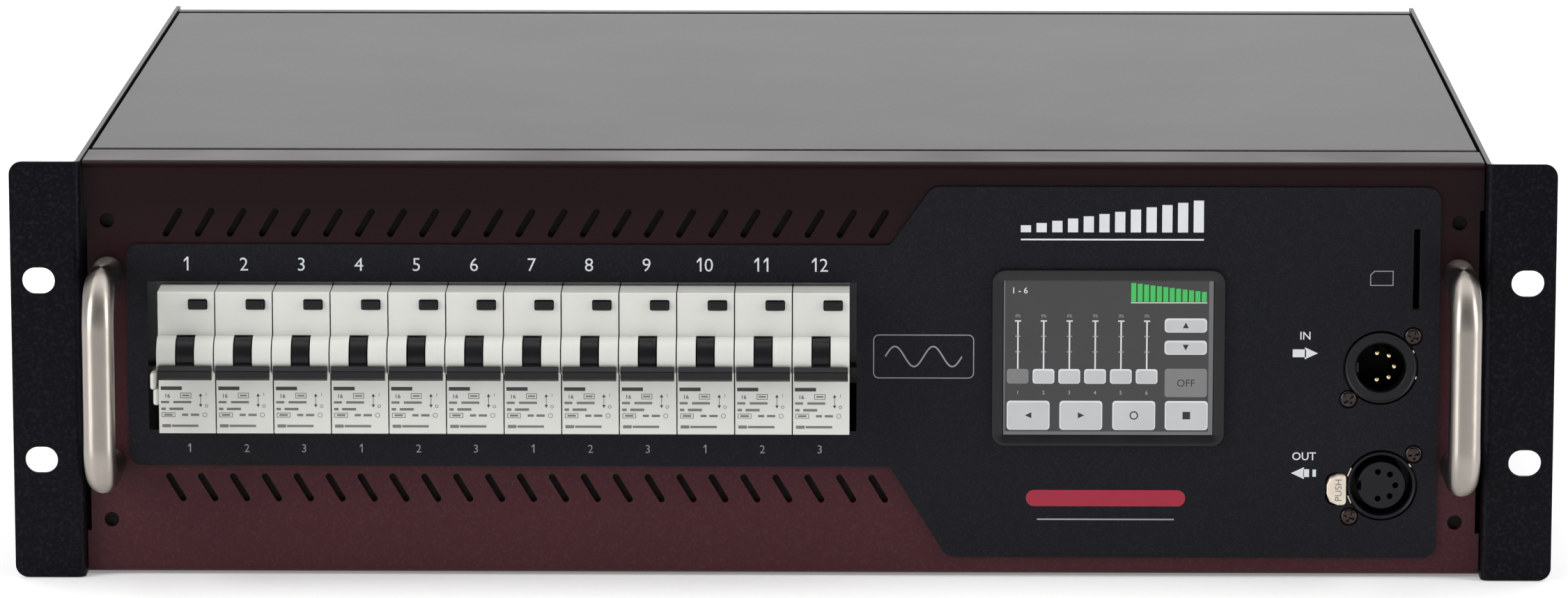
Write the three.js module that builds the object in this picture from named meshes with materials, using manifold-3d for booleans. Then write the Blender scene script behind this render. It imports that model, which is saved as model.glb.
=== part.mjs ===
// Twelve channel dimmer pack for a 19 inch rack, three units high.
// Millimetres, +X to the right seen from the front, +Y to the back, +Z up.
// Depths are measured from the front of the rack ears, heights from the underside.

import * as THREE from 'three';
import { mergeVertices } from 'three/addons/utils/BufferGeometryUtils.js';
import Module from 'manifold-3d';

const wasm = await Module();
wasm.setup();

// Rack standard and chassis
const rackWidth = 482.6;
const rackHeight = 132.5;
const earWidth = 20.5;
const earCornerRadius = 4;
const rackSlotInset = 8.75;
const rackHolePitch = 57.15;
const rackSlotLength = 10.2;
const rackSlotHeight = 8.3;
const bodyDepth = 347;
const sheetThickness = 1.5;
const bendInnerRadius = 1;

// Clearances shared by all pieces
const seatGap = 0.3;
const runningGap = 0.4;
const glueLayer = 0.1;
const overrun = 3;

// Front panel
const panelRecess = 5;
const panelThickness = 2;
const panelBendInner = 0.4;
const panelTopGap = 0.5;
const panelBottomGap = 0.7;
const panelFlange = 22.7;
const panelNotchDepth = 1.3;
const panelNotchFromBottom = 13.4;
const panelNotchFromTop = 15;
const panelHoleDiameter = 4.6;
const panelHoleFromBottom = 16.9;
const panelHoleFromTop = 18.8;

// Carrying handles
const handleDiameter = 10;
const handleInset = 9.5;
const handleSpan = 61;
const handleReach = 33;
const handleBendRadius = 12;

// Overlay plate with a narrow lobe round the breakers and a tall head round the controls
const overlayThickness = 1;
const overlayHandleGap = 0.9;
const lobeBelow = 35;
const lobeAbove = 35.6;
const lobeBeyondWindow = 10.45;
const slantRunTop = 13.2;
const slantRunBottom = 17.9;
const headFromTop = 7.5;
const headFromBottom = 5.7;
const lobeCornerRadius = 4;
const headCornerRadius = 4.5;
const overlayInnerRadius = 2;
const overlayLap = 0.6;

// Breaker row and its window
const breakerCount = 12;
const breakerPitch = 18;
const breakerGap = 0.4;
const breakerRowInset = 10.6;
const breakerRise = 4.05;
const windowLeftGap = 4.2;
const windowRightGap = 2;
const windowEdgeGap = 1.2;

// One breaker, measured from the middle of its front face
const noseHeight = 45;
const noseProud = 13;
const noseDepth = 16;
const shoulderHeight = 81;
const housingDepth = 65;
const housingEdgeRadius = 1;
const clawDepth = 5;
const clawReach = 1.5;
const cheekRadius = 6;
const pivotProud = 1;
const pivotRise = 2.8;
const toggleSlotWidth = 6;
const drumRadius = 5.6;
const togglePinRadius = 1.2;
const togglePinReach = 1.2;
const barWidth = 16.7;
const barDepth = 3.4;
const barEdgeDepth = 2.4;
const barHeight = 4.4;
const barEdgeRadius = 0.5;
const offAngle = 38;
const buttonHoleWidth = 6;
const buttonHoleHeight = 3.2;
const buttonHoleDepth = 9;
const buttonRight = 3.7;
const buttonRise = 18.6;
const buttonProud = 1.2;
const buttonTravel = 1.5;
const buttonEdgeRadius = 0.6;

// Mounting rail for the breakers and its two brackets
const railHeight = 35;
const railWebHeight = 27;
const railDepth = 7.5;
const railThickness = 1;
const railOverhang = 12;
const bracketWidth = 8;
const bracketThickness = 2;
const bracketFoot = 20;
const bracketTopMargin = 4;

// Vent slots, one row above and one below the breakers
const ventCount = 23;
const ventInset = 4;
const ventPitch = 10.04;
const ventRise = 42.3;
const ventLength = 10.2;
const ventWidth = 2;
const ventLean = 59;

// Touch screen and its frame
const screenFromEdge = 103.4;
const screenRise = 4.15;
const bezelWidth = 72.6;
const bezelHeight = 55.8;
const bezelCornerRadius = 4;
const bezelLip = 1.1;
const bezelNeckWall = 1.4;
const glassWidth = 65.5;
const glassHeight = 49;
const glassCornerRadius = 1;
const glassRecess = 0.5;
const moduleDepth = 6.5;

// Control connectors, inlet above and outlet below
const inletFromEdge = 18.1;
const inletRise = 1.05;
const inletRadius = 11.1;
const inletCupRadius = 8;
const inletCupDepth = 12;
const outletFromEdge = 17.4;
const outletDrop = 36.55;
const outletRadius = 10.6;
const outletWall = 0.9;
const outletBoreDepth = 12;
const outletPlugRadius = 7.4;
const outletPlugSink = 0.6;
const shellProud = 0.4;
const shellClearance = 0.7;
const shellDepth = 19;
const flangeWidth = 26;
const flangeHeight = 31;
const flangeThickness = 2;
const contactCircle = 4.4;
const contactSpread = 52;
const contactCount = 5;
const pinDiameter = 1.6;
const pinSink = 2.5;
const pinDiscThickness = 2;
const socketDiameter = 1.9;
const socketDepth = 7;
const keyWidth = 3;
const keyDepth = 1.1;
const screwOffset = 10;
const screwHeadHole = 6;

// Latch tab of the outlet connector
const tabWidth = 6.1;
const tabHeight = 9.7;
const tabShellGap = 0.5;
const tabDrop = 1.2;
const tabTravel = 1.5;
const tabStem = 8;
const tabOuterRadius = 3.4;
const tabInnerRadius = 1;
const guideWall = 1.6;

// Memory card slot
const cardFromEdge = 7.35;
const cardRise = 32.4;
const cardSlotWidth = 3.5;
const cardSlotHeight = 25.9;
const cardSlotRadius = 0.4;
const cardMouthWidth = 2.6;
const cardDepth = 25;
const cardHolderWall = 1.6;

// Control board behind the right half of the front
const boardFromSide = 13.3;
const boardFromRail = 14.8;
const boardFromBottom = 13.3;
const boardFromTop = 12.7;
const boardThickness = 1.6;
const boardEdgeMargin = 5;
const standoffRadius = 3;
const postSpacing = 97;
const converterWidth = 42;
const converterHeight = 32;
const converterDepth = 26;
const headerLength = 52;
const headerHeight = 9;

// Base, lid and rear panel
const rearRecess = 3;
const rearBottomGap = 0.5;
const rearFlange = 8;
const traySideHeight = 15;
const lidSideGap = 0.9;
const lidFrontGap = 2.3;
const lidRearGap = 2;
const lidLip = 5;
const lidSideHeight = 12;
const lidEdgeRadius = 1.2;

// Heatsink with the power modules under its plate
const sinkFromSide = 17.3;
const sinkWidth = 150;
const sinkFront = 95;
const sinkFanGap = 6;
const sinkLegHeight = 28;
const sinkPlate = 8;
const sinkFinHeight = 66;
const sinkLeg = 4;
const finCount = 13;
const finThickness = 2.5;
const moduleRows = 2;
const moduleColumns = 6;
const moduleWidth = 22;
const moduleLength = 26;
const moduleHeight = 9;
const moduleRowPitch = 60;

// Fan at the rear
const fanSize = 80;
const fanDepth = 25;
const fanCornerRadius = 4;
const fanBoreRadius = 38;
const fanHubRadius = 17;
const fanHubBevel = 2;
const fanHubDepth = 16;
const fanHubWall = 2;
const fanSeatRadius = 16;
const fanSeatDepth = 4;
const fanStrutWidth = 5;
const fanStrutCount = 4;
const fanPinRadius = 2;
const bladeCount = 7;
const bladeThickness = 1.4;
const bladeChord = 15;
const bladePitchRoot = 52;
const bladePitchTip = 32;
const bladeTipGap = 1.6;
const bladeRootSink = 1.5;
const grilleSlotCount = 7;
const grillePitch = 10;
const grilleSlotHeight = 5;
const grilleMargin = 1;

// Suppression chokes on their tray
const trayFromSide = 15.3;
const trayFront = 90;
const trayWidth = 164;
const trayFromRear = 40;
const chokeColumns = 3;
const chokeRows = 4;
const chokeRingRadius = 14;
const chokeWindingRadius = 7;
const chokeSink = 1.8;

// Mains cable gland
const glandFromSide = 54.3;
const glandThreadRadius = 16;
const glandBoreRadius = 10;
const glandNutFlats = 36;
const glandNutHeight = 8;
const glandDomeRadius = 16.5;
const glandDomeLength = 20;
const glandDomeRound = 4;
const glandMouthRadius = 12;
const glandLockNut = 5;

// Multipole output connector
const multipoleFromGland = 120;
const multipoleFlangeWidth = 132;
const multipoleFlangeHeight = 44;
const multipoleFlangeThickness = 4;
const multipoleShellWidth = 116;
const multipoleShellHeight = 36;
const multipoleShellDepth = 26;
const multipoleWall = 2.5;
const multipoleCornerRadius = 4;
const multipoleInsertSink = 12;
const poleColumns = 12;
const poleRows = 2;
const polePitch = 8;
const poleRowPitch = 12;
const poleDiameter = 3;
const poleDepth = 6;
const pegRadius = 4;
const pegLength = 3.5;
const pegInset = 12;

// Facet counts
const fineArc = 5;
const coarseArc = 2;
const roundSides = 24;
const drumSides = 16;
const smallSides = 8;
const tinySides = 6;
const hexSides = 6;
const handleSides = 16;
const chokeSides = 6;
const chokeSteps = 10;

// Places worked out from the sizes above
const bodyWidth = rackWidth - 2 * earWidth;
const sideInner = bodyWidth / 2 - sheetThickness;
const innerWidth = sideInner - seatGap;
const midHeight = rackHeight / 2;
const panelTop = rackHeight - panelTopGap;
const panelRear = panelRecess + panelThickness;
const flangeEnd = panelRecess + panelFlange;
const overlayRear = panelRecess - glueLayer;
const overlayFront = overlayRear - overlayThickness;
const rearFace = bodyDepth - rearRecess;
const rearInner = rearFace - sheetThickness;
const rearFlangeFront = rearFace - rearFlange;
const floorTop = sheetThickness + seatGap;
const handleX = bodyWidth / 2 - handleInset;
const handleLow = midHeight - handleSpan / 2;
const handleHigh = midHeight + handleSpan / 2;
const overlayEdge = handleX - handleDiameter / 2 - overlayHandleGap;
const headTop = panelTop - headFromTop;
const headBottom = panelBottomGap + headFromBottom;
const rowLeft = breakerRowInset - overlayEdge;
const rowRight = rowLeft + breakerCount * breakerPitch;
const rowZ = midHeight + breakerRise;
const noseFace = panelRecess - noseProud;
const railStand = housingDepth - clawDepth;
const screenX = overlayEdge - screenFromEdge;
const screenZ = midHeight + screenRise;
const bezelFront = overlayFront - seatGap - bezelLip;
const inletX = overlayEdge - inletFromEdge;
const inletZ = midHeight + inletRise;
const outletX = overlayEdge - outletFromEdge;
const outletZ = midHeight - outletDrop;
const shellFront = overlayFront - shellProud;
const tabRight = outletX - outletRadius - tabShellGap;
const tabX = tabRight - tabWidth / 2;
const tabZ = outletZ - tabDrop;
const tabProud = tabTravel + seatGap;
const cardX = overlayEdge - cardFromEdge;
const cardZ = midHeight + cardRise;
const boardFront = panelRear + seatGap + cardDepth + cardHolderWall;
const sinkX = sideInner - sinkFromSide - sinkWidth / 2;
const fanBack = rearInner - seatGap;
const fanZ = midHeight;
const glandX = glandFromSide - sideInner;
const glandZ = midHeight;
const multipoleX = glandX + multipoleFromGland;
const multipoleZ = midHeight;
const fittingFace = rearFace + seatGap;
const glandEnd = fittingFace + glandNutHeight + glandDomeLength;
const multipoleEnd = fittingFace + multipoleFlangeThickness + multipoleShellDepth;
const frontmost = panelRecess - handleReach - handleDiameter / 2;
const rearmost = Math.max(glandEnd, multipoleEnd, bodyDepth);

// Finishes as colour, roughness and metalness
const finishes = {
  blackTexture: [0x1b1b1e, 0.7, 0.1],
  maroonPaint: [0x3a2226, 0.6, 0.1],
  overlayBlack: [0x1f2026, 0.55, 0],
  zincSteel: [0xa9adb0, 0.4, 0.9],
  satinSteel: [0xc9c6c0, 0.3, 1],
  housingWhite: [0xdcdcd6, 0.5, 0],
  toggleBlack: [0x232326, 0.45, 0],
  gloss: [0x0c0c0e, 0.15, 0],
  blackNickel: [0x2c2c30, 0.35, 0.8],
  insulator: [0x16161a, 0.6, 0],
  aluminium: [0xb4b6b8, 0.45, 0.9],
  circuitBoard: [0x1d5a3a, 0.5, 0],
  windings: [0x9a5a2c, 0.4, 0.6],
  castGrey: [0x8d8f92, 0.6, 0.5],
};

// Solids from closed geometries

function solidOf(geometry) {
  const bare = new THREE.BufferGeometry();
  bare.setAttribute('position', geometry.getAttribute('position').clone());
  bare.setIndex(geometry.index);
  const merged = mergeVertices(bare);
  const corners = merged.index.array;
  const kept = [];
  for (let i = 0; i < corners.length; i += 3) {
    const [a, b, c] = corners.slice(i, i + 3);
    if (a !== b && b !== c && c !== a) kept.push(a, b, c);
  }
  const vertProperties = new Float32Array(merged.getAttribute('position').array);
  const triVerts = new Uint32Array(kept);
  return new wasm.Manifold(new wasm.Mesh({ numProp: 3, vertProperties, triVerts }));
}

function geometryOf(solid) {
  const { vertProperties, triVerts } = solid.getMesh();
  const geometry = new THREE.BufferGeometry();
  geometry.setAttribute('position', new THREE.BufferAttribute(new Float32Array(vertProperties), 3));
  geometry.setIndex(new THREE.BufferAttribute(new Uint32Array(triVerts), 1));
  return geometry;
}

function joined(...solids) {
  return solids.flat().reduce((sum, next) => sum.add(next));
}

function cut(solid, ...tools) {
  return solid.subtract(joined(...tools));
}

// Extrusions of an outline: (y, z) along X, (x, z) along Y and (x, y) along Z

const unitX = new THREE.Vector3(1, 0, 0);
const unitY = new THREE.Vector3(0, 1, 0);
const unitZ = new THREE.Vector3(0, 0, 1);
const turnToX = new THREE.Matrix4().makeBasis(unitY, unitZ, unitX);
const turnToY = new THREE.Matrix4().makeBasis(unitX, unitZ, unitY.clone().negate());

function prism(outline, depth) {
  return new THREE.ExtrudeGeometry(new THREE.Shape(outline), { depth, bevelEnabled: false });
}

function alongX(outline, from, to) {
  const geometry = prism(outline, to - from).applyMatrix4(turnToX);
  return solidOf(geometry.translate(from, 0, 0));
}

function alongY(outline, from, to) {
  const geometry = prism(outline, to - from).applyMatrix4(turnToY);
  return solidOf(geometry.translate(0, to, 0));
}

function alongZ(outline, from, to) {
  return solidOf(prism(outline, to - from).translate(0, 0, from));
}

// Box between two limits on each axis, given in either order
function block([xA, xB], [yA, yB], [zA, zB]) {
  const geometry = new THREE.BoxGeometry(Math.abs(xB - xA), Math.abs(yB - yA), Math.abs(zB - zA));
  return solidOf(geometry.translate((xA + xB) / 2, (yA + yB) / 2, (zA + zB) / 2));
}

// Outlines as lists of points

function polygon(pairs) {
  return pairs.map(([a, b]) => new THREE.Vector2(a, b));
}

function arc(centreA, centreB, radius, fromDegrees, toDegrees, steps) {
  return Array.from({ length: steps + 1 }, (_, i) => {
    const angle = THREE.MathUtils.degToRad(THREE.MathUtils.lerp(fromDegrees, toDegrees, i / steps));
    return new THREE.Vector2(centreA + radius * Math.cos(angle), centreB + radius * Math.sin(angle));
  });
}

function circle(centreA, centreB, radius, sides = roundSides) {
  return arc(centreA, centreB, radius, 0, 360, sides).slice(1);
}

// Polygon through corners [a, b, radius], each corner with a radius rounded by an arc
function rounded(corners, steps = fineArc) {
  return corners.flatMap(([a, b, radius], i) => {
    const here = new THREE.Vector2(a, b);
    if (!radius) return [here];
    const before = new THREE.Vector2(...corners.at(i - 1)).sub(here).normalize();
    const after = new THREE.Vector2(...corners[(i + 1) % corners.length]).sub(here).normalize();
    const half = Math.acos(before.dot(after)) / 2;
    const toCentre = before.clone().add(after).normalize();
    const centre = here.clone().addScaledVector(toCentre, radius / Math.sin(half));
    const spoke = before.clone().multiplyScalar(radius / Math.tan(half)).add(here).sub(centre);
    const turn = Math.sign(after.cross(before)) * (Math.PI - 2 * half);
    return Array.from({ length: steps + 1 },
      (_, k) => spoke.clone().rotateAround(new THREE.Vector2(), (turn * k) / steps).add(centre));
  });
}

function roundedBox(centreA, centreB, width, height, radius, steps = fineArc) {
  const [left, right] = [centreA - width / 2, centreA + width / 2];
  const [bottom, top] = [centreB - height / 2, centreB + height / 2];
  const corners = [[left, bottom], [right, bottom], [right, top], [left, top]];
  return rounded(corners.map(([a, b]) => [a, b, radius]), steps);
}

// Slot with round ends, its long axis leaning by the given degrees from level
function slot(centreA, centreB, length, width, leanDegrees, steps = fineArc) {
  const reach = (length - width) / 2;
  const centre = new THREE.Vector2(centreA, centreB);
  const lean = THREE.MathUtils.degToRad(leanDegrees);
  const ends = [
    ...arc(centreA + reach, centreB, width / 2, -90, 90, steps),
    ...arc(centreA - reach, centreB, width / 2, 90, 270, steps),
  ];
  return ends.map((point) => point.rotateAround(centre, lean));
}

// Turned piece on an axis along Y, from a closed profile of [radius, y] pairs, anticlockwise
function turned(profile, centreX, centreZ, sides = roundSides) {
  const points = polygon([...profile, profile[0]]);
  return solidOf(new THREE.LatheGeometry(points, sides).translate(centreX, 0, centreZ));
}

function centredSteps(count, pitch) {
  return Array.from({ length: count }, (_, i) => (i - (count - 1) / 2) * pitch);
}

// Named meshes gathered in one group

const pack = new THREE.Group();
pack.name = 'dimmer_pack';

function addPart(name, geometry, finish, place = [0, 0, 0]) {
  const [color, roughness, metalness] = finishes[finish];
  const material = new THREE.MeshStandardMaterial({ color, roughness, metalness, flatShading: true });
  const mesh = new THREE.Mesh(geometry, material);
  mesh.name = name;
  mesh.position.set(...place);
  pack.add(mesh);
}

// Side plate and rack ear bent from one sheet; side is -1 on the left and 1 on the right
function sidePanel(side) {
  const plate = alongZ(rounded([
    [side * rackWidth / 2, 0],
    [side * sideInner, 0, bendInnerRadius + sheetThickness],
    [side * sideInner, bodyDepth],
    [side * bodyWidth / 2, bodyDepth],
    [side * bodyWidth / 2, sheetThickness, bendInnerRadius],
    [side * rackWidth / 2, sheetThickness],
  ]), 0, rackHeight);
  const [near, far] = [-overrun, sheetThickness + overrun];
  const earSpace = block([side * bodyWidth / 2, side * rackWidth], [near, far],
    [-overrun, rackHeight + overrun]);
  const earOutline = roundedBox(side * (rackWidth / 2 - earWidth), midHeight, 2 * earWidth, rackHeight,
    earCornerRadius);
  const corners = earSpace.subtract(alongY(earOutline, near - overrun, far + overrun));
  const slots = centredSteps(2, rackHolePitch).map((rise) => alongY(
    slot(side * (rackWidth / 2 - rackSlotInset), midHeight + rise, rackSlotLength, rackSlotHeight, 0),
    near, far,
  ));
  return cut(plate, corners, slots);
}

// Holes through the front, each widened all round by the same allowance
function frontOpenings(from, to, allowance) {
  const windowWidth = rowRight - rowLeft + windowLeftGap + windowRightGap;
  const windowX = (rowLeft - windowLeftGap + rowRight + windowRightGap) / 2;
  const neckMargin = 2 * (seatGap + bezelNeckWall + seatGap + allowance);
  const outlines = [
    roundedBox(windowX, rowZ, windowWidth + 2 * allowance,
      noseHeight + 2 * (windowEdgeGap + allowance), 0),
    roundedBox(screenX, screenZ, glassWidth + neckMargin, glassHeight + neckMargin,
      bezelNeckWall, coarseArc),
    circle(inletX, inletZ, inletRadius + shellClearance + allowance),
    circle(outletX, outletZ, outletRadius + shellClearance + allowance),
    roundedBox(tabX, tabZ, tabWidth + 2 * runningGap + allowance,
      tabHeight + 2 * runningGap + allowance, tabInnerRadius, coarseArc),
    roundedBox(cardX, cardZ, cardSlotWidth + allowance, cardSlotHeight + allowance,
      cardSlotRadius, coarseArc),
  ];
  return outlines.map((outline) => alongY(outline, from, to));
}

function ventSlots(from, to) {
  return [ventLean, -ventLean].flatMap((lean) => Array.from({ length: ventCount }, (_, i) => alongY(
    slot(rowLeft + ventInset + i * ventPitch, rowZ + Math.sign(lean) * ventRise,
      ventLength, ventWidth, lean, coarseArc),
    from, to,
  )));
}

// Channel with a flange turned back along its top and bottom
function frontPanel() {
  const bendOuter = panelBendInner + panelThickness;
  const [low, high] = [panelBottomGap + panelThickness, panelTop - panelThickness];
  const channel = alongX(rounded([
    [flangeEnd, panelBottomGap],
    [flangeEnd, low],
    [panelRear, low, panelBendInner],
    [panelRear, high, panelBendInner],
    [flangeEnd, high],
    [flangeEnd, panelTop],
    [panelRecess, panelTop, bendOuter],
    [panelRecess, panelBottomGap, bendOuter],
  ]), -innerWidth, innerWidth);
  const [near, far] = [panelRecess - overrun, panelRear + overrun];
  const notches = [-1, 1].map((side) => block(
    [side * (innerWidth - panelNotchDepth), side * (innerWidth + overrun)], [near, far],
    [panelBottomGap + panelNotchFromBottom, panelTop - panelNotchFromTop],
  ));
  const holeHeights = [panelBottomGap + panelHoleFromBottom, panelTop - panelHoleFromTop];
  const holes = [-handleX, handleX].flatMap((x) => holeHeights.map(
    (z) => alongY(circle(x, z, panelHoleDiameter / 2, smallSides), near, far),
  ));
  return cut(channel, notches, holes, frontOpenings(near, far, overlayLap), ventSlots(near, far));
}

function fasciaOverlay() {
  const [lobeBottom, lobeTop] = [rowZ - lobeBelow, rowZ + lobeAbove];
  const lobeEnd = rowRight + windowRightGap + lobeBeyondWindow;
  const sheet = alongY(rounded([
    [-overlayEdge, lobeBottom, lobeCornerRadius],
    [lobeEnd, lobeBottom, overlayInnerRadius],
    [lobeEnd + slantRunBottom, headBottom, headCornerRadius],
    [overlayEdge, headBottom, headCornerRadius],
    [overlayEdge, headTop, headCornerRadius],
    [lobeEnd + slantRunTop, headTop, headCornerRadius],
    [lobeEnd, lobeTop, overlayInnerRadius],
    [-overlayEdge, lobeTop, lobeCornerRadius],
  ]), overlayFront, overlayRear);
  const [near, far] = [overlayFront - overrun, overlayRear + overrun];
  const screwPlaces = [[inletX, inletZ], [outletX, outletZ]].flatMap(
    ([x, z]) => [-screwOffset, screwOffset].map((offset) => [x + offset, z + offset]),
  );
  const screwHoles = screwPlaces.map(
    ([x, z]) => alongY(circle(x, z, screwHeadHole / 2, drumSides), near, far),
  );
  return cut(sheet, frontOpenings(near, far, 0), screwHoles);
}

// Lid with a lip stepped down at the front and back, and a flange turned down at each side
function topCover() {
  const halfWidth = sideInner - lidSideGap;
  const front = flangeEnd + lidFrontGap;
  const back = rearFlangeFront - lidRearGap;
  const under = panelTop - sheetThickness;
  const lipTop = panelTop - Math.max(panelThickness, sheetThickness) - seatGap;
  const lipBottom = lipTop - sheetThickness;
  const sheet = alongX(rounded([
    [front, panelTop, lidEdgeRadius],
    [front, lipTop],
    [flangeEnd - lidLip, lipTop],
    [flangeEnd - lidLip, lipBottom],
    [front + sheetThickness, lipBottom],
    [front + sheetThickness, under],
    [back - sheetThickness, under],
    [back - sheetThickness, lipBottom],
    [rearFlangeFront + lidLip, lipBottom],
    [rearFlangeFront + lidLip, lipTop],
    [back, lipTop],
    [back, panelTop, lidEdgeRadius],
  ], coarseArc), -halfWidth, halfWidth);
  const flanges = [-1, 1].map((side) => block(
    [side * halfWidth, side * (halfWidth - sheetThickness)],
    [front + sheetThickness / 2, back - sheetThickness / 2],
    [panelTop - lidSideHeight, under + sheetThickness / 2],
  ));
  return joined(sheet, flanges);
}

function basePlate() {
  const flangeInner = innerWidth - sheetThickness;
  return alongY(polygon([
    [-innerWidth, 0],
    [innerWidth, 0],
    [innerWidth, traySideHeight],
    [flangeInner, traySideHeight],
    [flangeInner, sheetThickness],
    [-flangeInner, sheetThickness],
    [-flangeInner, traySideHeight],
    [-innerWidth, traySideHeight],
  ]), flangeEnd + seatGap, rearFlangeFront - seatGap);
}

// Level air slots that fill the fan's circle
function fanGrille(from, to) {
  const radius = fanBoreRadius - grilleMargin;
  return centredSteps(grilleSlotCount, grillePitch).map((rise) => {
    const length = 2 * Math.sqrt(radius ** 2 - rise ** 2);
    return alongY(slot(sinkX, fanZ + rise, length, grilleSlotHeight, 0, coarseArc), from, to);
  });
}

function rearPanel() {
  const bendOuter = bendInnerRadius + sheetThickness;
  const channel = alongX(rounded([
    [rearFlangeFront, rearBottomGap],
    [rearFace, rearBottomGap, bendOuter],
    [rearFace, panelTop, bendOuter],
    [rearFlangeFront, panelTop],
    [rearFlangeFront, panelTop - sheetThickness],
    [rearInner, panelTop - sheetThickness, bendInnerRadius],
    [rearInner, rearBottomGap + sheetThickness, bendInnerRadius],
    [rearFlangeFront, rearBottomGap + sheetThickness],
  ], coarseArc), -innerWidth, innerWidth);
  const [near, far] = [rearInner - overrun, rearFace + overrun];
  const wireHole = alongY(roundedBox(multipoleX, multipoleZ, multipoleShellWidth - 2 * multipoleWall,
    multipoleShellHeight - 2 * multipoleWall, multipoleCornerRadius, coarseArc), near, far);
  const glandHole = alongY(circle(glandX, glandZ, glandThreadRadius + seatGap), near, far);
  return cut(channel, wireHole, glandHole, fanGrille(near, far));
}

// Breaker housing: nose with a cheek each side of the toggle, shoulders, rail claws, button well
function breakerBody() {
  const halfWidth = (breakerPitch - breakerGap) / 2;
  const [halfNose, halfShoulder] = [noseHeight / 2, shoulderHeight / 2];
  const halfRail = railHeight / 2 + seatGap;
  const halfClaw = halfRail - clawReach;
  const seat = railStand - seatGap;
  const claw = railStand + railThickness + seatGap;
  const housing = alongX(rounded([
    [0, -halfNose, housingEdgeRadius],
    [0, halfNose, housingEdgeRadius],
    [noseDepth, halfNose],
    [noseDepth, halfShoulder],
    [housingDepth, halfShoulder],
    [housingDepth, halfClaw],
    [claw, halfClaw],
    [claw, halfRail],
    [seat, halfRail],
    [seat, -halfRail],
    [claw, -halfRail],
    [claw, -halfClaw],
    [housingDepth, -halfClaw],
    [housingDepth, -halfShoulder],
    [noseDepth, -halfShoulder],
    [noseDepth, -halfNose],
  ], coarseArc), -halfWidth, halfWidth);
  const halfSlot = toggleSlotWidth / 2;
  const cavity = alongX(circle(-pivotProud, pivotRise, drumRadius + runningGap, drumSides),
    -halfSlot, halfSlot);
  const well = alongY(roundedBox(buttonRight, buttonRise, buttonHoleWidth, buttonHoleHeight,
    buttonEdgeRadius, 1), -overrun, buttonHoleDepth);
  const cheekOutline = circle(-pivotProud, pivotRise, cheekRadius, drumSides);
  const cheeks = [-1, 1].map(
    (side) => alongX(cheekOutline, ...[side * halfSlot, side * halfWidth].sort((a, b) => a - b)),
  );
  const pinReach = halfSlot + togglePinReach + seatGap;
  const pinHole = alongX(circle(-pivotProud, pivotRise, togglePinRadius + seatGap, smallSides),
    -pinReach, pinReach);
  return cut(joined(cut(housing, cavity, well), cheeks), pinHole);
}

// Toggle at its off position, measured from its pivot: drum, two pins, neck and cross bar with a
// low ridge along its front
function breakerToggle() {
  const halfDrum = toggleSlotWidth / 2 - runningGap;
  const drum = alongX(circle(0, 0, drumRadius, drumSides), -halfDrum, halfDrum);
  const pinReach = toggleSlotWidth / 2 + togglePinReach;
  const pins = alongX(circle(0, 0, togglePinRadius, smallSides), -pinReach, pinReach);
  const barBack = -cheekRadius - runningGap;
  const neck = block([-halfDrum, halfDrum], [0, barBack - barEdgeRadius],
    [-barHeight / 2 + barEdgeRadius, barHeight / 2 - barEdgeRadius]);
  const halfBar = barHeight / 2;
  const bar = alongX(rounded([
    [barBack, -halfBar],
    [barBack, halfBar],
    [barBack - barEdgeDepth, halfBar, barEdgeRadius],
    [barBack - barDepth, 0],
    [barBack - barEdgeDepth, -halfBar, barEdgeRadius],
  ], 1), -barWidth / 2, barWidth / 2);
  return joined(drum, pins, neck, bar).rotate([offAngle, 0, 0]);
}

function testButton() {
  const length = buttonHoleDepth - buttonTravel - seatGap;
  return alongY(roundedBox(0, 0, buttonHoleWidth - 2 * runningGap, buttonHoleHeight - 2 * runningGap,
    buttonEdgeRadius / 2, 1), -buttonProud, length);
}

function addBreakerRow() {
  const [body, toggle, button] = [breakerBody(), breakerToggle(), testButton()].map(geometryOf);
  for (let i = 0; i < breakerCount; i += 1) {
    const number = String(i + 1).padStart(2, '0');
    const x = rowLeft + (i + 1 / 2) * breakerPitch;
    addPart(`breaker_body_${number}`, body.clone(), 'housingWhite', [x, noseFace, rowZ]);
    addPart(`breaker_toggle_${number}`, toggle.clone(), 'toggleBlack',
      [x, noseFace - pivotProud, rowZ + pivotRise]);
    addPart(`test_button_${number}`, button.clone(), 'toggleBlack',
      [x + buttonRight, noseFace, rowZ + buttonRise]);
  }
}

// Top hat rail for the breakers, carried by a bracket at each end that stands on the base
function dinRail() {
  const front = noseFace + railStand;
  const back = front + railDepth;
  const [halfRail, halfWeb] = [railHeight / 2, railWebHeight / 2];
  const halfInner = halfWeb - railThickness;
  const [left, right] = [rowLeft - railOverhang, rowRight + railOverhang];
  const rail = alongX(polygon([
    [front, halfRail],
    [front, halfInner],
    [back - railThickness, halfInner],
    [back - railThickness, -halfInner],
    [front, -halfInner],
    [front, -halfRail],
    [front + railThickness, -halfRail],
    [front + railThickness, -halfWeb],
    [back, -halfWeb],
    [back, halfWeb],
    [front + railThickness, halfWeb],
    [front + railThickness, halfRail],
  ]), left, right).translate([0, 0, rowZ]);
  const plateBack = back + bracketThickness;
  const brackets = [[left, left + bracketWidth], [right - bracketWidth, right]].map(([from, to]) => alongX(
    rounded([
      [back - railThickness, rowZ + halfInner - bracketTopMargin],
      [back - railThickness, floorTop],
      [back + bracketFoot, floorTop],
      [back + bracketFoot, floorTop + bracketThickness],
      [plateBack, floorTop + bracketThickness, bendInnerRadius],
      [plateBack, rowZ + halfInner - bracketTopMargin],
    ], coarseArc), from, to,
  ));
  return joined(rail, brackets);
}

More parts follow.
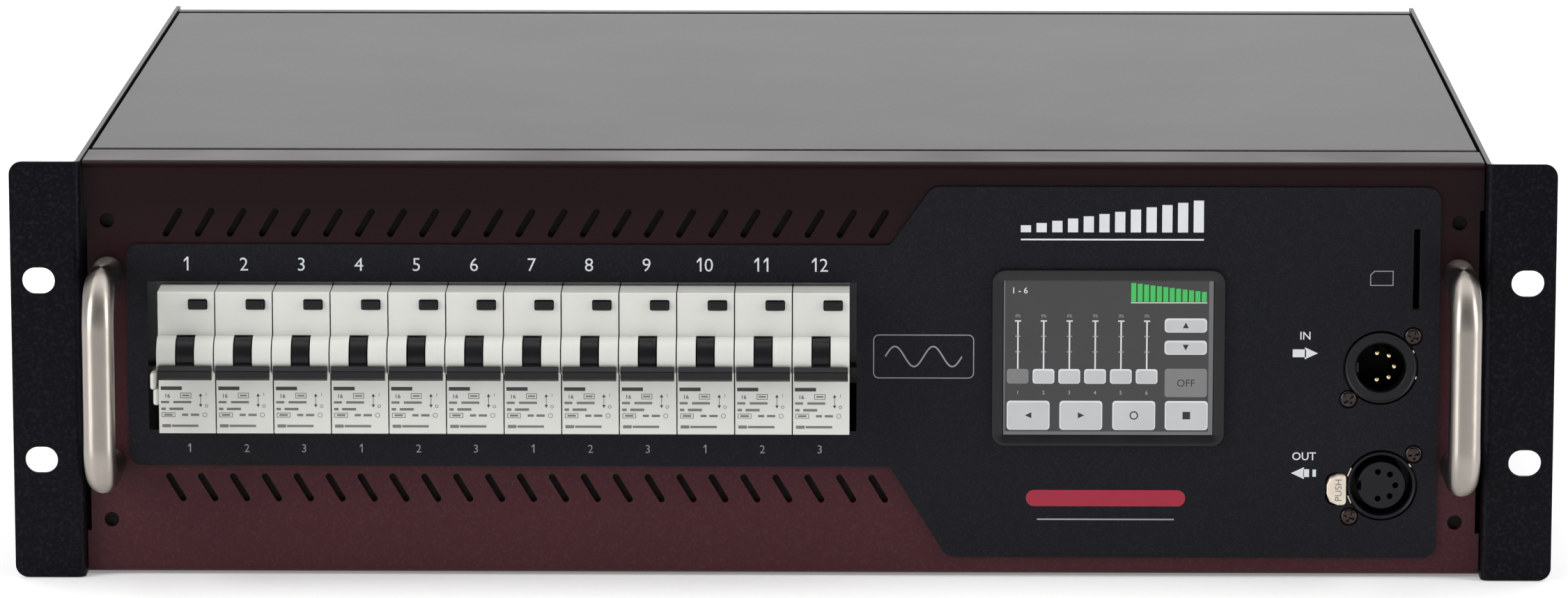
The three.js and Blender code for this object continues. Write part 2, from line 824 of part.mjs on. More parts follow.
// Centre line of a handle: out along the lower leg, up the grip and back along the upper leg
class HandlePath extends THREE.Curve {
  constructor(x) {
    super();
    const foot = panelRecess - seatGap;
    const bendY = panelRecess - handleReach + handleBendRadius;
    const legs = [[handleLow, foot], [handleHigh, foot]];
    const bends = [
      arc(handleLow + handleBendRadius, bendY, handleBendRadius, 180, 270, fineArc),
      arc(handleHigh - handleBendRadius, bendY, handleBendRadius, 270, 360, fineArc),
    ];
    const line = [...polygon([legs[0]]), ...bends.flat(), ...polygon([legs[1]])];
    this.points = line.map(({ x: z, y }) => new THREE.Vector3(x, y, z));
  }

  // Every step of the sweep lands on one point of the line
  getUtoTmapping(share) {
    return share;
  }

  getPoint(share) {
    return this.points[Math.round(share * (this.points.length - 1))].clone();
  }

  // Halfway between the directions to the neighbouring points
  getTangent(share) {
    const at = Math.round(share * (this.points.length - 1));
    const [before, here, after] = [at - 1, at, at + 1].map(
      (i) => this.points[THREE.MathUtils.clamp(i, 0, this.points.length - 1)],
    );
    const arriving = here.clone().sub(before).normalize();
    return arriving.add(after.clone().sub(here).normalize()).normalize();
  }
}

function handle(side) {
  const path = new HandlePath(side * handleX);
  const section = new THREE.Shape(circle(0, 0, handleDiameter / 2, handleSides));
  const options = { extrudePath: path, steps: path.points.length - 1, bevelEnabled: false };
  return solidOf(new THREE.ExtrudeGeometry(section, options));
}

// Frame whose lip lies on the overlay and whose neck goes back through the panel
function screenBezel() {
  const lipBack = bezelFront + bezelLip;
  const neckGap = 2 * (seatGap + bezelNeckWall);
  const lip = alongY(roundedBox(screenX, screenZ, bezelWidth, bezelHeight, bezelCornerRadius),
    bezelFront, lipBack);
  const neck = alongY(roundedBox(screenX, screenZ, glassWidth + neckGap, glassHeight + neckGap,
    bezelNeckWall, coarseArc), bezelFront + bezelLip / 2, bezelFront + glassRecess + moduleDepth);
  const opening = alongY(roundedBox(screenX, screenZ, glassWidth + 2 * seatGap,
    glassHeight + 2 * seatGap, glassCornerRadius, coarseArc), -overrun, boardFront);
  return cut(joined(lip, neck), opening);
}

function touchScreen() {
  const front = bezelFront + glassRecess;
  return alongY(roundedBox(screenX, screenZ, glassWidth, glassHeight, glassCornerRadius, coarseArc),
    front, front + moduleDepth);
}

// Places of the round contacts, open towards the key on the left
function contactPlaces(centreX, centreZ) {
  return centredSteps(contactCount, contactSpread).flatMap(
    (degrees) => arc(centreX, centreZ, contactCircle, degrees, degrees, 1).slice(1),
  );
}

// Fixing flange behind the panel, with a hole for what passes through it
function shellFlange(x, z, holeRadius) {
  const front = panelRear + seatGap;
  const plate = alongY(roundedBox(x, z, flangeWidth, flangeHeight, flangeThickness, 1),
    front, front + flangeThickness);
  return cut(plate, alongY(circle(x, z, holeRadius), front - overrun, front + flangeThickness + overrun));
}

function keyBlock(centreX, centreZ, radius, depth, from, to) {
  const edge = centreX - radius;
  return block([edge - depth, edge + depth], [from, to],
    [centreZ - keyWidth / 2, centreZ + keyWidth / 2]);
}

function inletShell() {
  const seat = shellFront + inletCupDepth + pinDiscThickness + seatGap;
  const tailRadius = contactCircle + pinDiameter;
  const back = shellFront + shellDepth;
  const shell = turned([
    [inletCupRadius, shellFront],
    [inletRadius, shellFront],
    [inletRadius, back],
    [tailRadius, back],
    [tailRadius, seat],
    [inletCupRadius, seat],
  ], inletX, inletZ);
  const ridge = keyBlock(inletX, inletZ, inletCupRadius, keyDepth, shellFront + shellProud,
    shellFront + inletCupDepth - seatGap);
  return joined(shell, ridge, shellFlange(inletX, inletZ, (inletRadius + inletCupRadius) / 2));
}

function inletInsert() {
  const discFront = shellFront + inletCupDepth;
  const disc = alongY(circle(inletX, inletZ, inletCupRadius - seatGap), discFront,
    discFront + pinDiscThickness);
  const tail = shellFront + shellDepth + pinSink;
  const pins = contactPlaces(inletX, inletZ).map(
    ({ x, y: z }) => alongY(circle(x, z, pinDiameter / 2, smallSides), shellFront + pinSink, tail),
  );
  return joined(disc, pins);
}

function latchTabOutline(allowance) {
  const [halfWidth, halfHeight] = [tabWidth / 2 + allowance, tabHeight / 2 + allowance];
  return rounded([
    [tabX - halfWidth, tabZ - halfHeight, tabOuterRadius],
    [tabX + halfWidth, tabZ - halfHeight, tabInnerRadius],
    [tabX + halfWidth, tabZ + halfHeight, tabInnerRadius],
    [tabX - halfWidth, tabZ + halfHeight, tabOuterRadius],
  ], coarseArc);
}

function outletShell() {
  const back = shellFront + shellDepth;
  const boreRadius = outletRadius - outletWall;
  const shell = turned([
    [boreRadius, shellFront],
    [outletRadius, shellFront],
    [outletRadius, back],
    [outletPlugRadius + seatGap, back],
    [outletPlugRadius + seatGap, shellFront + outletBoreDepth],
    [boreRadius, shellFront + outletBoreDepth],
  ], outletX, outletZ);
  const front = panelRear + seatGap;
  const guide = alongY(latchTabOutline(runningGap + guideWall), front, front + tabStem);
  const slide = alongY(latchTabOutline(runningGap), front - overrun, front + tabStem + overrun);
  const flange = shellFlange(outletX, outletZ, (outletRadius + boreRadius) / 2);
  const outside = alongY(circle(outletX, outletZ, (outletRadius + boreRadius) / 2), front,
    front + tabStem);
  return joined(shell, cut(joined(flange, guide), slide, outside));
}

// Socket plug with a collar behind the shell
function outletInsert() {
  const back = shellFront + shellDepth + seatGap;
  const front = shellFront + outletPlugSink;
  const plug = turned([
    [0, front],
    [outletPlugRadius, front],
    [outletPlugRadius, back],
    [outletRadius, back],
    [outletRadius, back + pinDiscThickness],
    [0, back + pinDiscThickness],
  ], outletX, outletZ);
  const sockets = contactPlaces(outletX, outletZ).map(
    ({ x, y: z }) => alongY(circle(x, z, socketDiameter / 2, smallSides), front - overrun,
      front + socketDepth),
  );
  const keyway = keyBlock(outletX, outletZ, outletPlugRadius, keyDepth, front - overrun,
    front + socketDepth);
  return cut(plug, sockets, keyway);
}

function latchTab() {
  return alongY(latchTabOutline(0), overlayFront - tabProud, panelRear + seatGap + tabStem);
}

// Board on four posts, with its card holder, converter block and plug strip
function controlBoard() {
  const right = sideInner - boardFromSide;
  const left = rowRight + railOverhang + boardFromRail;
  const top = panelTop - boardFromTop;
  const back = boardFront + boardThickness;
  const board = block([left, right], [boardFront, back], [boardFromBottom, top]);
  const posts = [left + boardEdgeMargin, left + boardEdgeMargin + postSpacing].flatMap(
    (x) => [boardFromBottom + boardEdgeMargin, top - boardEdgeMargin].map((z) => alongY(
      circle(x, z, standoffRadius, smallSides), panelRear + seatGap, boardFront + boardThickness / 2,
    )),
  );
  const holder = alongY(roundedBox(cardX, cardZ, cardMouthWidth + 2 * cardHolderWall,
    cardSlotHeight + 2 * cardHolderWall, 0), panelRear + seatGap, boardFront + boardThickness / 2);
  const mouth = alongY(roundedBox(cardX, cardZ, cardMouthWidth, cardSlotHeight, 0),
    panelRear - overrun, panelRear + seatGap + cardDepth);
  const converterLeft = left + 2 * boardEdgeMargin;
  const converter = block([converterLeft, converterLeft + converterWidth],
    [back - boardThickness / 2, back + converterDepth],
    [top - boardEdgeMargin - converterHeight, top - boardEdgeMargin]);
  const header = block([converterLeft, converterLeft + headerLength],
    [back - boardThickness / 2, back + headerHeight],
    [boardFromBottom + boardEdgeMargin, boardFromBottom + boardEdgeMargin + headerHeight]);
  return joined(board, posts, cut(holder, mouth), converter, header);
}

// Fins on a plate over two rows of power modules, standing on a leg along each side
function heatsink() {
  const back = fanBack - fanDepth - sinkFanGap;
  const [left, right] = [sinkX - sinkWidth / 2, sinkX + sinkWidth / 2];
  const plateBottom = floorTop + sinkLegHeight;
  const plateTop = plateBottom + sinkPlate;
  const finPitch = (sinkWidth - finThickness) / (finCount - 1);
  const fins = centredSteps(finCount, finPitch).map((x) => block(
    [sinkX + x - finThickness / 2, sinkX + x + finThickness / 2], [sinkFront, back],
    [plateTop - sinkPlate / 2, plateTop + sinkFinHeight],
  ));
  const legs = [[left, left + sinkLeg], [right - sinkLeg, right]].map(
    (sides) => block(sides, [sinkFront, back], [floorTop, plateBottom + sinkPlate / 2]),
  );
  const plate = block([left, right], [sinkFront, back], [plateBottom, plateTop]);
  const modulePitch = (back - sinkFront) / moduleColumns;
  const modules = centredSteps(moduleRows, moduleRowPitch).flatMap((x) => centredSteps(
    moduleColumns, modulePitch,
  ).map((y) => {
    const middle = (sinkFront + back) / 2 + y;
    return block([sinkX + x - moduleWidth / 2, sinkX + x + moduleWidth / 2],
      [middle - moduleLength / 2, middle + moduleLength / 2],
      [plateBottom - moduleHeight, plateBottom + sinkPlate / 2]);
  }));
  return joined(plate, fins, legs, modules);
}

// Square frame with a round bore, and a motor seat with its pin held by four struts
function fanFrame() {
  const front = fanBack - fanDepth;
  const frame = alongY(roundedBox(sinkX, fanZ, fanSize, fanSize, fanCornerRadius, coarseArc),
    front, fanBack);
  const bore = alongY(circle(sinkX, fanZ, fanBoreRadius), front - overrun, fanBack + overrun);
  const seatFront = fanBack - fanSeatDepth;
  const seat = turned([
    [0, seatFront - fanHubDepth + 2 * fanHubWall],
    [fanPinRadius, seatFront - fanHubDepth + 2 * fanHubWall],
    [fanPinRadius, seatFront],
    [fanSeatRadius, seatFront],
    [fanSeatRadius, fanBack],
    [0, fanBack],
  ], sinkX, fanZ, drumSides);
  const halfStrut = fanStrutWidth / 2;
  const reach = fanBoreRadius + overrun / 2;
  const struts = Array.from({ length: fanStrutCount / 2 }, (_, i) => block([-reach, reach],
    [seatFront + seatGap, fanBack], [-halfStrut, halfStrut])
    .rotate([0, 45 + i * 90, 0]).translate([sinkX, 0, fanZ]));
  return joined(cut(frame, bore), seat, struts);
}

// Flat plate twisted from its root to its tip
function fanBlade() {
  const root = fanHubRadius - bladeRootSink;
  const span = fanBoreRadius - bladeTipGap - root;
  const geometry = new THREE.BoxGeometry(bladeChord, bladeThickness, span, 2, 1, 2);
  geometry.translate(0, 0, span / 2);
  const places = geometry.getAttribute('position');
  const point = new THREE.Vector3();
  for (let i = 0; i < places.count; i += 1) {
    point.fromBufferAttribute(places, i);
    const pitch = THREE.MathUtils.lerp(bladePitchRoot, bladePitchTip, point.z / span);
    point.applyAxisAngle(unitZ, THREE.MathUtils.degToRad(pitch));
    places.setXYZ(i, point.x, point.y, point.z + root);
  }
  return solidOf(geometry);
}

// Impeller measured from its centre, the hub's closed face to the front
function fanImpeller() {
  const half = fanHubDepth / 2;
  const bore = fanPinRadius + runningGap;
  const hub = turned([
    [0, -half],
    [fanHubRadius - fanHubBevel, -half],
    [fanHubRadius, -half + fanHubBevel],
    [fanHubRadius, half],
    [bore, half],
    [bore, -half + fanHubWall],
    [0, -half + fanHubWall],
  ], 0, 0);
  const blades = Array.from({ length: bladeCount },
    (_, i) => fanBlade().rotate([0, (360 * i) / bladeCount, 0]));
  return joined(hub, blades);
}

// Interference suppression chokes lying on a raised tray
function chokeTray() {
  const left = trayFromSide - sideInner;
  const length = rearInner - trayFromRear - trayFront;
  const trayTop = floorTop + sheetThickness;
  const tray = block([left, left + trayWidth], [trayFront, trayFront + length], [floorTop, trayTop]);
  const chokes = centredSteps(chokeColumns, trayWidth / chokeColumns).flatMap(
    (x) => centredSteps(chokeRows, length / chokeRows).map((y) => {
      const ring = new THREE.TorusGeometry(chokeRingRadius, chokeWindingRadius, chokeSides, chokeSteps);
      return solidOf(ring.translate(left + trayWidth / 2 + x, trayFront + length / 2 + y,
        trayTop + chokeWindingRadius - chokeSink));
    }),
  );
  return joined(tray, chokes);
}

// Gland with its lock nut inside the rear panel
function mainsGland() {
  const nutBack = fittingFace + glandNutHeight;
  const lockNutBack = rearInner - seatGap;
  const threadFront = lockNutBack - glandLockNut;
  const sleeve = turned([
    [glandBoreRadius, threadFront],
    [glandThreadRadius, threadFront],
    [glandThreadRadius, nutBack],
    [glandDomeRadius, nutBack],
    [glandDomeRadius, glandEnd - glandDomeRound],
    [glandDomeRadius - glandDomeRound / 2, glandEnd],
    [glandMouthRadius, glandEnd],
    [glandBoreRadius, glandEnd - glandMouthRadius + glandBoreRadius],
  ], glandX, glandZ);
  const nutOutline = circle(glandX, glandZ, glandNutFlats / Math.sqrt(3), hexSides);
  const middle = circle(glandX, glandZ, (glandBoreRadius + glandThreadRadius) / 2);
  const nuts = [[threadFront, lockNutBack], [fittingFace, nutBack]].map(
    ([from, to]) => cut(alongY(nutOutline, from, to), alongY(middle, from - overrun, to + overrun)),
  );
  return joined(sleeve, nuts);
}

// Shrouded socket block with two contacts for each channel and a locking peg at each end
function multipoleConnector() {
  const flangeBack = fittingFace + multipoleFlangeThickness;
  const floor = multipoleEnd - multipoleInsertSink;
  const flange = alongY(roundedBox(multipoleX, multipoleZ, multipoleFlangeWidth,
    multipoleFlangeHeight, multipoleCornerRadius, coarseArc), fittingFace, flangeBack);
  const shell = alongY(roundedBox(multipoleX, multipoleZ, multipoleShellWidth,
    multipoleShellHeight, multipoleCornerRadius, coarseArc), fittingFace, multipoleEnd);
  const well = alongY(roundedBox(multipoleX, multipoleZ, multipoleShellWidth - 2 * multipoleWall,
    multipoleShellHeight - 2 * multipoleWall, multipoleCornerRadius - multipoleWall, coarseArc),
    floor, multipoleEnd + overrun);
  const poles = centredSteps(poleColumns, polePitch).flatMap(
    (x) => centredSteps(poleRows, poleRowPitch).map((z) => alongY(
      circle(multipoleX + x, multipoleZ + z, poleDiameter / 2, tinySides), floor - poleDepth,
      floor + overrun,
    )),
  );
  const pegEnd = multipoleShellWidth / 2 + pegLength;
  const peg = alongX(circle(multipoleEnd - pegInset, multipoleZ, pegRadius, drumSides),
    multipoleX - pegEnd, multipoleX + pegEnd);
  return cut(joined(flange, shell, peg), well, poles);
}

// Assembly

addPart('front_panel', geometryOf(frontPanel()), 'maroonPaint');
addPart('fascia_overlay', geometryOf(fasciaOverlay()), 'overlayBlack');
for (const [word, side] of [['left', -1], ['right', 1]]) {
  addPart(`side_panel_${word}`, geometryOf(sidePanel(side)), 'blackTexture');
  addPart(`handle_${word}`, geometryOf(handle(side)), 'satinSteel');
}
addPart('top_cover', geometryOf(topCover()), 'blackTexture');
addPart('base_plate', geometryOf(basePlate()), 'zincSteel');
addPart('rear_panel', geometryOf(rearPanel()), 'blackTexture');
addBreakerRow();
addPart('din_rail', geometryOf(dinRail()), 'zincSteel');
addPart('screen_bezel', geometryOf(screenBezel()), 'overlayBlack');
addPart('touch_screen', geometryOf(touchScreen()), 'gloss');
addPart('xlr_input_shell', geometryOf(inletShell()), 'blackNickel');
addPart('xlr_input_insert', geometryOf(inletInsert()), 'insulator');
addPart('xlr_output_shell', geometryOf(outletShell()), 'blackNickel');
addPart('xlr_output_insert', geometryOf(outletInsert()), 'insulator');
addPart('xlr_latch_tab', geometryOf(latchTab()), 'satinSteel');
addPart('control_board', geometryOf(controlBoard()), 'circuitBoard');
addPart('heatsink', geometryOf(heatsink()), 'aluminium');
addPart('fan_frame', geometryOf(fanFrame()), 'insulator');
addPart('fan_impeller', geometryOf(fanImpeller()), 'insulator',
  [sinkX, fanBack - fanSeatDepth - runningGap - fanHubDepth / 2, fanZ]);
addPart('choke_tray', geometryOf(chokeTray()), 'windings');
addPart('mains_gland', geometryOf(mainsGland()), 'castGrey');
addPart('output_connector', geometryOf(multipoleConnector()), 'castGrey');

pack.position.y = -(frontmost + rearmost) / 2;

export default pack;
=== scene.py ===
"""Looks of a twelve channel dimmer pack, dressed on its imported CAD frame.

Sizes and places are millimetres of the drawing: X to the right seen from the front, Y behind the front
of the rack ears, Z up from the underside. spot() turns them into the frame's metres.
"""

import logging
import math
from collections.abc import Callable, Sequence
from dataclasses import dataclass
from enum import Enum
from functools import cache

import bmesh
import bpy
from mathutils import Matrix, Vector


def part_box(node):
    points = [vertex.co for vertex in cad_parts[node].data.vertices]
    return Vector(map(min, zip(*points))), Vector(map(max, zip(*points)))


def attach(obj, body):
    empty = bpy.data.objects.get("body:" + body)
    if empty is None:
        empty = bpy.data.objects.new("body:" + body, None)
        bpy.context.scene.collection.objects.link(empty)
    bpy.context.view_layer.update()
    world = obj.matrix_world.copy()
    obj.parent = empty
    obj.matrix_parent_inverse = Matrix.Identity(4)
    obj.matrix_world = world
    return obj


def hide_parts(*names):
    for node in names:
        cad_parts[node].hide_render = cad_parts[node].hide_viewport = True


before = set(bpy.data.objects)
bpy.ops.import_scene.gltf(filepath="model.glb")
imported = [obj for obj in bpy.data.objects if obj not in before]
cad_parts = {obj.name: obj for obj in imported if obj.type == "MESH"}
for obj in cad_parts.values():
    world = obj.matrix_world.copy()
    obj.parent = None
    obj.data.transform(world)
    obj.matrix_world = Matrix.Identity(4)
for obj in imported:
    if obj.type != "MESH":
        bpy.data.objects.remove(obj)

LOG = logging.getLogger("dimmer_pack")
CHASSIS = "chassis"
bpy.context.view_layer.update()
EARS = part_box("side_panel_left")[0][1]
PRINT_LIFT = 0.03
CHANNELS = 12
CHANNEL_PITCH = 18
MOTTLE_SPAN = (0.3, 0.7)
PEAK_SPAN = (0.5, 0.72)
CAPITAL_SHARE = 0.73
CROSS_SHARES = (0.66, 0.18)
SAME_PLACE = 0.01
WELD_REACH = 0.005
FLAT_ANGLE = 0.5

Point = Sequence[float]
Sizes = tuple[float, ...]
Outline = Sequence[Point]
Test = Callable[[Vector, Vector], bool]
Tree, Socket = bpy.types.NodeTree, bpy.types.NodeSocket


def mm(length: float) -> float:
    """Turn millimetres into metres."""
    return length / 1000


def spot(point: Point) -> Vector:
    """Turn a place of the drawing into the frame's."""
    x, y, z = point
    return Vector((mm(x), EARS + mm(y), mm(z)))


def drawn(place: Point) -> Vector:
    """Turn a place of the frame into the drawing's."""
    x, y, z = place
    return Vector((x, y - EARS, z)) * 1000


def limits(node: str) -> tuple[Vector, Vector]:
    """Give the lowest and highest corners of a CAD node, in the drawing."""
    low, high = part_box(node)
    return drawn(low), drawn(high)


def rect(x: float, z: float, width: float, height: float, radius: float = 0) -> list[tuple]:
    """Outline a box by its middle and size, with a radius that rounds its corners."""
    signs = ((-1, -1), (1, -1), (1, 1), (-1, 1))
    return [(x + a * width / 2, z + b * height / 2, radius) for a, b in signs]


def lean(outline: Outline, degrees: float) -> list[tuple]:
    """Turn an outline about its middle, anticlockwise."""
    middle = sum((Vector(corner[:2]) for corner in outline), Vector((0, 0))) / len(outline)
    turn = Matrix.Rotation(math.radians(degrees), 2)
    return [(*(turn @ (Vector((a, b)) - middle) + middle), r) for a, b, r in outline]


class Axis(Enum):
    """Axis along which a piece is raised: its way and the rotation that lays a drum along it."""

    X = ((1, 0, 0), (0, math.pi / 2, 0))
    Y = ((0, 1, 0), (math.pi / 2, 0, 0))
    Z = ((0, 0, 1), (0, 0, 0))

    def point(self, a: float, b: float, level: float) -> Vector:
        """Place an outline's point, (y, z), (x, z) or (x, y), at a level along the axis."""
        return spot({Axis.X: (level, a, b), Axis.Y: (a, level, b), Axis.Z: (a, b, level)}[self])


# Materials


def linear(code: str, share: float = 1) -> tuple[float, ...]:
    """Turn a colour from sRGB hex to a share of its linear light."""
    parts = [int(code[i : i + 2], 16) / 255 for i in (1, 3, 5)]
    light = (p / 12.92 if p <= 0.04045 else ((p + 0.055) / 1.055) ** 2.4 for p in parts)
    return (*(part * share for part in light), 1.0)


def add_node(
    tree: Tree, kind: str, settings: dict[str, object] | None = None, links: dict[str, Socket] | None = None
) -> bpy.types.Node:
    """Add a node to a tree.

    Args:
        tree: Tree that takes the node.
        kind: Name of the node's type, without its prefix.
        settings: Values of its sockets and properties by name.
        links: Sockets that feed its inputs, by input name.

    Returns:
        The new node.
    """
    node = tree.nodes.new(f"ShaderNode{kind}")
    for name, value in (settings or {}).items():
        if name in node.inputs:
            node.inputs[name].default_value = value
        else:
            setattr(node, name, value)
    for name, source in (links or {}).items():
        tree.links.new(source, node.inputs[name])
    return node


def ranged(tree: Tree, value: Socket, *span: float) -> Socket:
    """Carry a value from its two limits over to two others, and stop there."""
    ends = dict(zip(("From Min", "From Max", "To Min", "To Max"), span, strict=True))
    return add_node(tree, "MapRange", ends, {"Value": value}).outputs["Result"]


def mixed(tree: Tree, share: Socket, first: Socket | Point, second: Point) -> Socket:
    """Mix a share of a second colour into a first one, which may be a socket."""
    mix = add_node(tree, "Mix", {"data_type": "RGBA"})
    tree.links.new(share, mix.inputs[0])
    if isinstance(first, Socket):
        tree.links.new(first, mix.inputs[6])
    else:
        mix.inputs[6].default_value = first
    mix.inputs[7].default_value = second
    return mix.outputs[2]


@dataclass(frozen=True)
class Finish:
    """A surface: its colour, gloss, slow mottling and fine grain, sizes in millimetres, with any light or
    shade that is painted into its colour.

    The slot is the record's. The grain is bump of a real height, and its peaks may be painted lighter as
    painted glints.
    Lengthwise draws lights out along an upright bar. Painted shade is a darker colour painted in towards the
    far end of a span, where light falls off.
    """

    name: str
    slot: str
    colour: str
    roughness: float
    metallic: float = 0
    mirror: float = 0.5
    mottle_share: float = 0.04
    mottle_size: float = 12
    rough_spread: float = 0.04
    grain_size: float = 0.6
    grain_height: float = 0.006
    speck_share: float = 0
    speck_colour: str = "#8c8488"
    stretch: Sizes = (1, 1, 1)
    lengthwise: float = 0
    glow: float = 0
    fade: str = ""
    fade_axis: Axis = Axis.Y
    fade_span: Sizes = (-0.22, -1.3)

    @cache
    def made(self) -> bpy.types.Material:
        """Build the node material of this finish, once."""
        material = bpy.data.materials.new(self.name)
        material.use_nodes = True
        tree = material.node_tree
        tree.nodes.clear()
        coords = add_node(tree, "TexCoord").outputs["Object"]
        place = add_node(tree, "Mapping", {"Scale": self.stretch}, {"Vector": coords}).outputs["Vector"]
        mottle, grain = (
            add_node(tree, "TexNoise", {"Scale": 1 / mm(size), "Detail": 3}, {"Vector": place}).outputs["Fac"]
            for size in (self.mottle_size, self.grain_size)
        )
        darker, lighter = (linear(self.colour, 1 + sign * self.mottle_share) for sign in (-1, 1))
        tint = mixed(tree, ranged(tree, mottle, *MOTTLE_SPAN, 0, 1), darker, lighter)
        # Painted glints: the grain's peaks painted lighter, as if they caught the light
        if self.speck_share:
            painted_glints = ranged(tree, grain, *PEAK_SPAN, 0, self.speck_share)
            tint = mixed(tree, painted_glints, tint, linear(self.speck_colour))
        # Painted shade: a darker colour mixed in along one axis, where light or its reflection falls off
        if self.fade:
            depth = add_node(tree, "SeparateXYZ", links={"Vector": coords}).outputs[self.fade_axis.name]
            tint = mixed(tree, ranged(tree, depth, *self.fade_span, 0, 1), tint, linear(self.fade))
        gloss = (self.roughness - self.rough_spread, self.roughness + self.rough_spread)
        height = {"Strength": 1, "Distance": mm(self.grain_height)}
        relief = add_node(tree, "Bump", height, {"Height": grain}).outputs["Normal"]
        settings: dict[str, object] = {"Metallic": self.metallic, "Specular IOR Level": self.mirror}
        rough = ranged(tree, mottle, *MOTTLE_SPAN, *gloss)
        links = {"Base Color": tint, "Roughness": rough, "Normal": relief}
        if self.lengthwise:
            settings |= {"Anisotropic": self.lengthwise, "Anisotropic Rotation": 0.25}
        if self.glow:
            settings["Emission Strength"] = self.glow
            links["Emission Color"] = tint
        if self.glow >= 1:
            del links["Base Color"]
            settings["Base Color"] = linear("#000000")
        shader = add_node(tree, "BsdfPrincipled", settings, links)
        add_node(tree, "OutputMaterial", links={"Surface": shader.outputs["BSDF"]})
        return material


# Polyester powder coat, sprayed and baked: matt, with painted shade that darkens it towards its top and
# painted glints that light the peaks of its peel in specks
MAROON_COAT = Finish(
    "maroon_powder_coat", "maroon_paint", "#3f1d22", 0.42, mirror=0.14, mottle_size=60, grain_size=1,
    grain_height=0.04, speck_share=0.04, fade="#170509", fade_axis=Axis.Z, fade_span=(0.02, 0.12),
)
# Textured black powder coat: coarser grain, which breaks up its reflections, and painted glints that lighten
# the grain's peaks
BLACK_COAT = Finish(
    "black_textured_powder_coat", "textured_black", "#06050c", 0.38, mirror=0.09, mottle_share=0.02,
    mottle_size=60, rough_spread=0.006, grain_size=1.2, grain_height=0.07, speck_share=0.03,
)
# Reverse printed polyester skin: its matting agent kills the mirror and leaves a blue black, with painted
# glints that lighten its grain's peaks
OVERLAY_SKIN = Finish(
    "matt_polyester_skin", "overlay_black", "#101117", 0.5, mirror=0.14, mottle_size=60, grain_size=0.5,
    grain_height=0.015, speck_share=0.035,
)
# Screen printed and pad printed inks: flat and dense
WHITE_INK = Finish("white_screen_ink", "overlay_black", "#d6d8db", 0.6, mirror=0.2)
GREY_INK = Finish("grey_screen_ink", "overlay_black", "#8f9095", 0.6, mirror=0.2)
CRIMSON_INK = Finish("crimson_screen_ink", "overlay_black", "#9c2c3e", 0.55, mirror=0.2)
PAD_INK = Finish("dark_pad_printed_ink", "toggle_black", "#434347", 0.6, mirror=0.2)
FADED_INK = Finish("pale_pad_printed_ink", "toggle_black", "#757576", 0.6, mirror=0.2)
# Moulded polyamide, off white with a spark eroded texture
HOUSING_PLASTIC = Finish(
    "off_white_moulded_polyamide", "housing_white", "#d3d3ce", 0.42, mottle_share=0.015, grain_size=0.35,
    grain_height=0.003,
)
# The same resin in black: its gloss shows along the ridges
TOGGLE_PLASTIC = Finish(
    "black_moulded_polyamide", "toggle_black", "#111114", 0.4, mirror=0.25, grain_height=0.004
)
BEZEL_PLASTIC = Finish("black_moulded_abs", "bezel_black", "#131316", 0.36, mirror=0.35, grain_height=0.004)
# Stainless bar ground round its girth: each light is drawn out into a streak along the bar
SATIN_STEEL = Finish(
    "satin_stainless_bar", "satin_steel", "#a39c95", 0.34, metallic=1, mottle_share=0.06, mottle_size=3,
    grain_size=0.5, grain_height=0.002, stretch=(1, 1, 0.35), lengthwise=0.85,
)
# Nickel plated spring steel, slightly yellow
BRIGHT_NICKEL = Finish(
    "nickel_plated_spring_steel", "latch_metal", "#e6d9ca", 0.42, metallic=0.7, mottle_share=0.08,
    mottle_size=1.5, grain_size=0.4,
)
# Black chromated zinc die casting: dark with a dull metal sheen
DARK_SHELL = Finish(
    "black_chromated_zinc", "black_nickel", "#141419", 0.4, metallic=0.1, mirror=0.25, mottle_share=0.06,
    mottle_size=4,
)
# Glass filled insulator: black with almost no gloss
INSULATOR = Finish("black_moulded_insulator", "contact_insert", "#131317", 0.5, mirror=0.25)
# Inside of the inlet's cup: painted shade, near black because it lies out of the light
CUP_PAINTED_SHADE = Finish("inlet_cup_painted_shade", "contact_insert", "#040405", 0.6, mirror=0.08)
# Gold flashed contact pins: warm glints in the dark cup
GOLD = Finish(
    "gold_flashed_brass", "contact_insert", "#e8d5a8", 0.2, metallic=1, mottle_size=2, grain_height=0.001
)
# Black nickel plated screw steel: dark brown with bright glints
DARK_SCREW = Finish(
    "black_nickel_screw_steel", "black_nickel", "#3e3634", 0.28, metallic=0.95, mottle_share=0.12,
    mottle_size=1,
)
# Zinc plated sheet: a cool grey with a faint bloom
ZINC_STEEL = Finish(
    "zinc_plated_sheet", "", "#aeb2b5", 0.38, metallic=0.9, mottle_share=0.08, mottle_size=6
)
# Extruded aluminium: streaks along the die's way
ALUMINIUM = Finish(
    "extruded_aluminium", "", "#bcbec0", 0.42, metallic=0.95, mottle_size=8, stretch=(1, 0.08, 1)
)
# Solder masked laminate: glossy green, uneven over its copper
BOARD_GREEN = Finish("solder_masked_laminate", "", "#1b4f35", 0.35, mottle_share=0.15, mottle_size=5)
# Enamelled wire wound in layers: coarse ridges stand for its turns
COPPER_WINDING = Finish(
    "enamelled_copper_winding", "", "#a5622f", 0.35, metallic=0.6, mottle_share=0.15, mottle_size=3,
    grain_size=1.2, grain_height=0.15,
)
# Moulded nylon, painted casting and fan resin: dull greys and a soft black
NYLON = Finish("grey_moulded_nylon", "gland_grey", "#6d6f71", 0.5)
DIE_CAST = Finish(
    "painted_die_casting", "connector_grey", "#7d8082", 0.5, metallic=0.3, mottle_size=6, grain_height=0.015
)
FAN_PLASTIC = Finish("black_glass_filled_polyester", "", "#131315", 0.5, mirror=0.3)
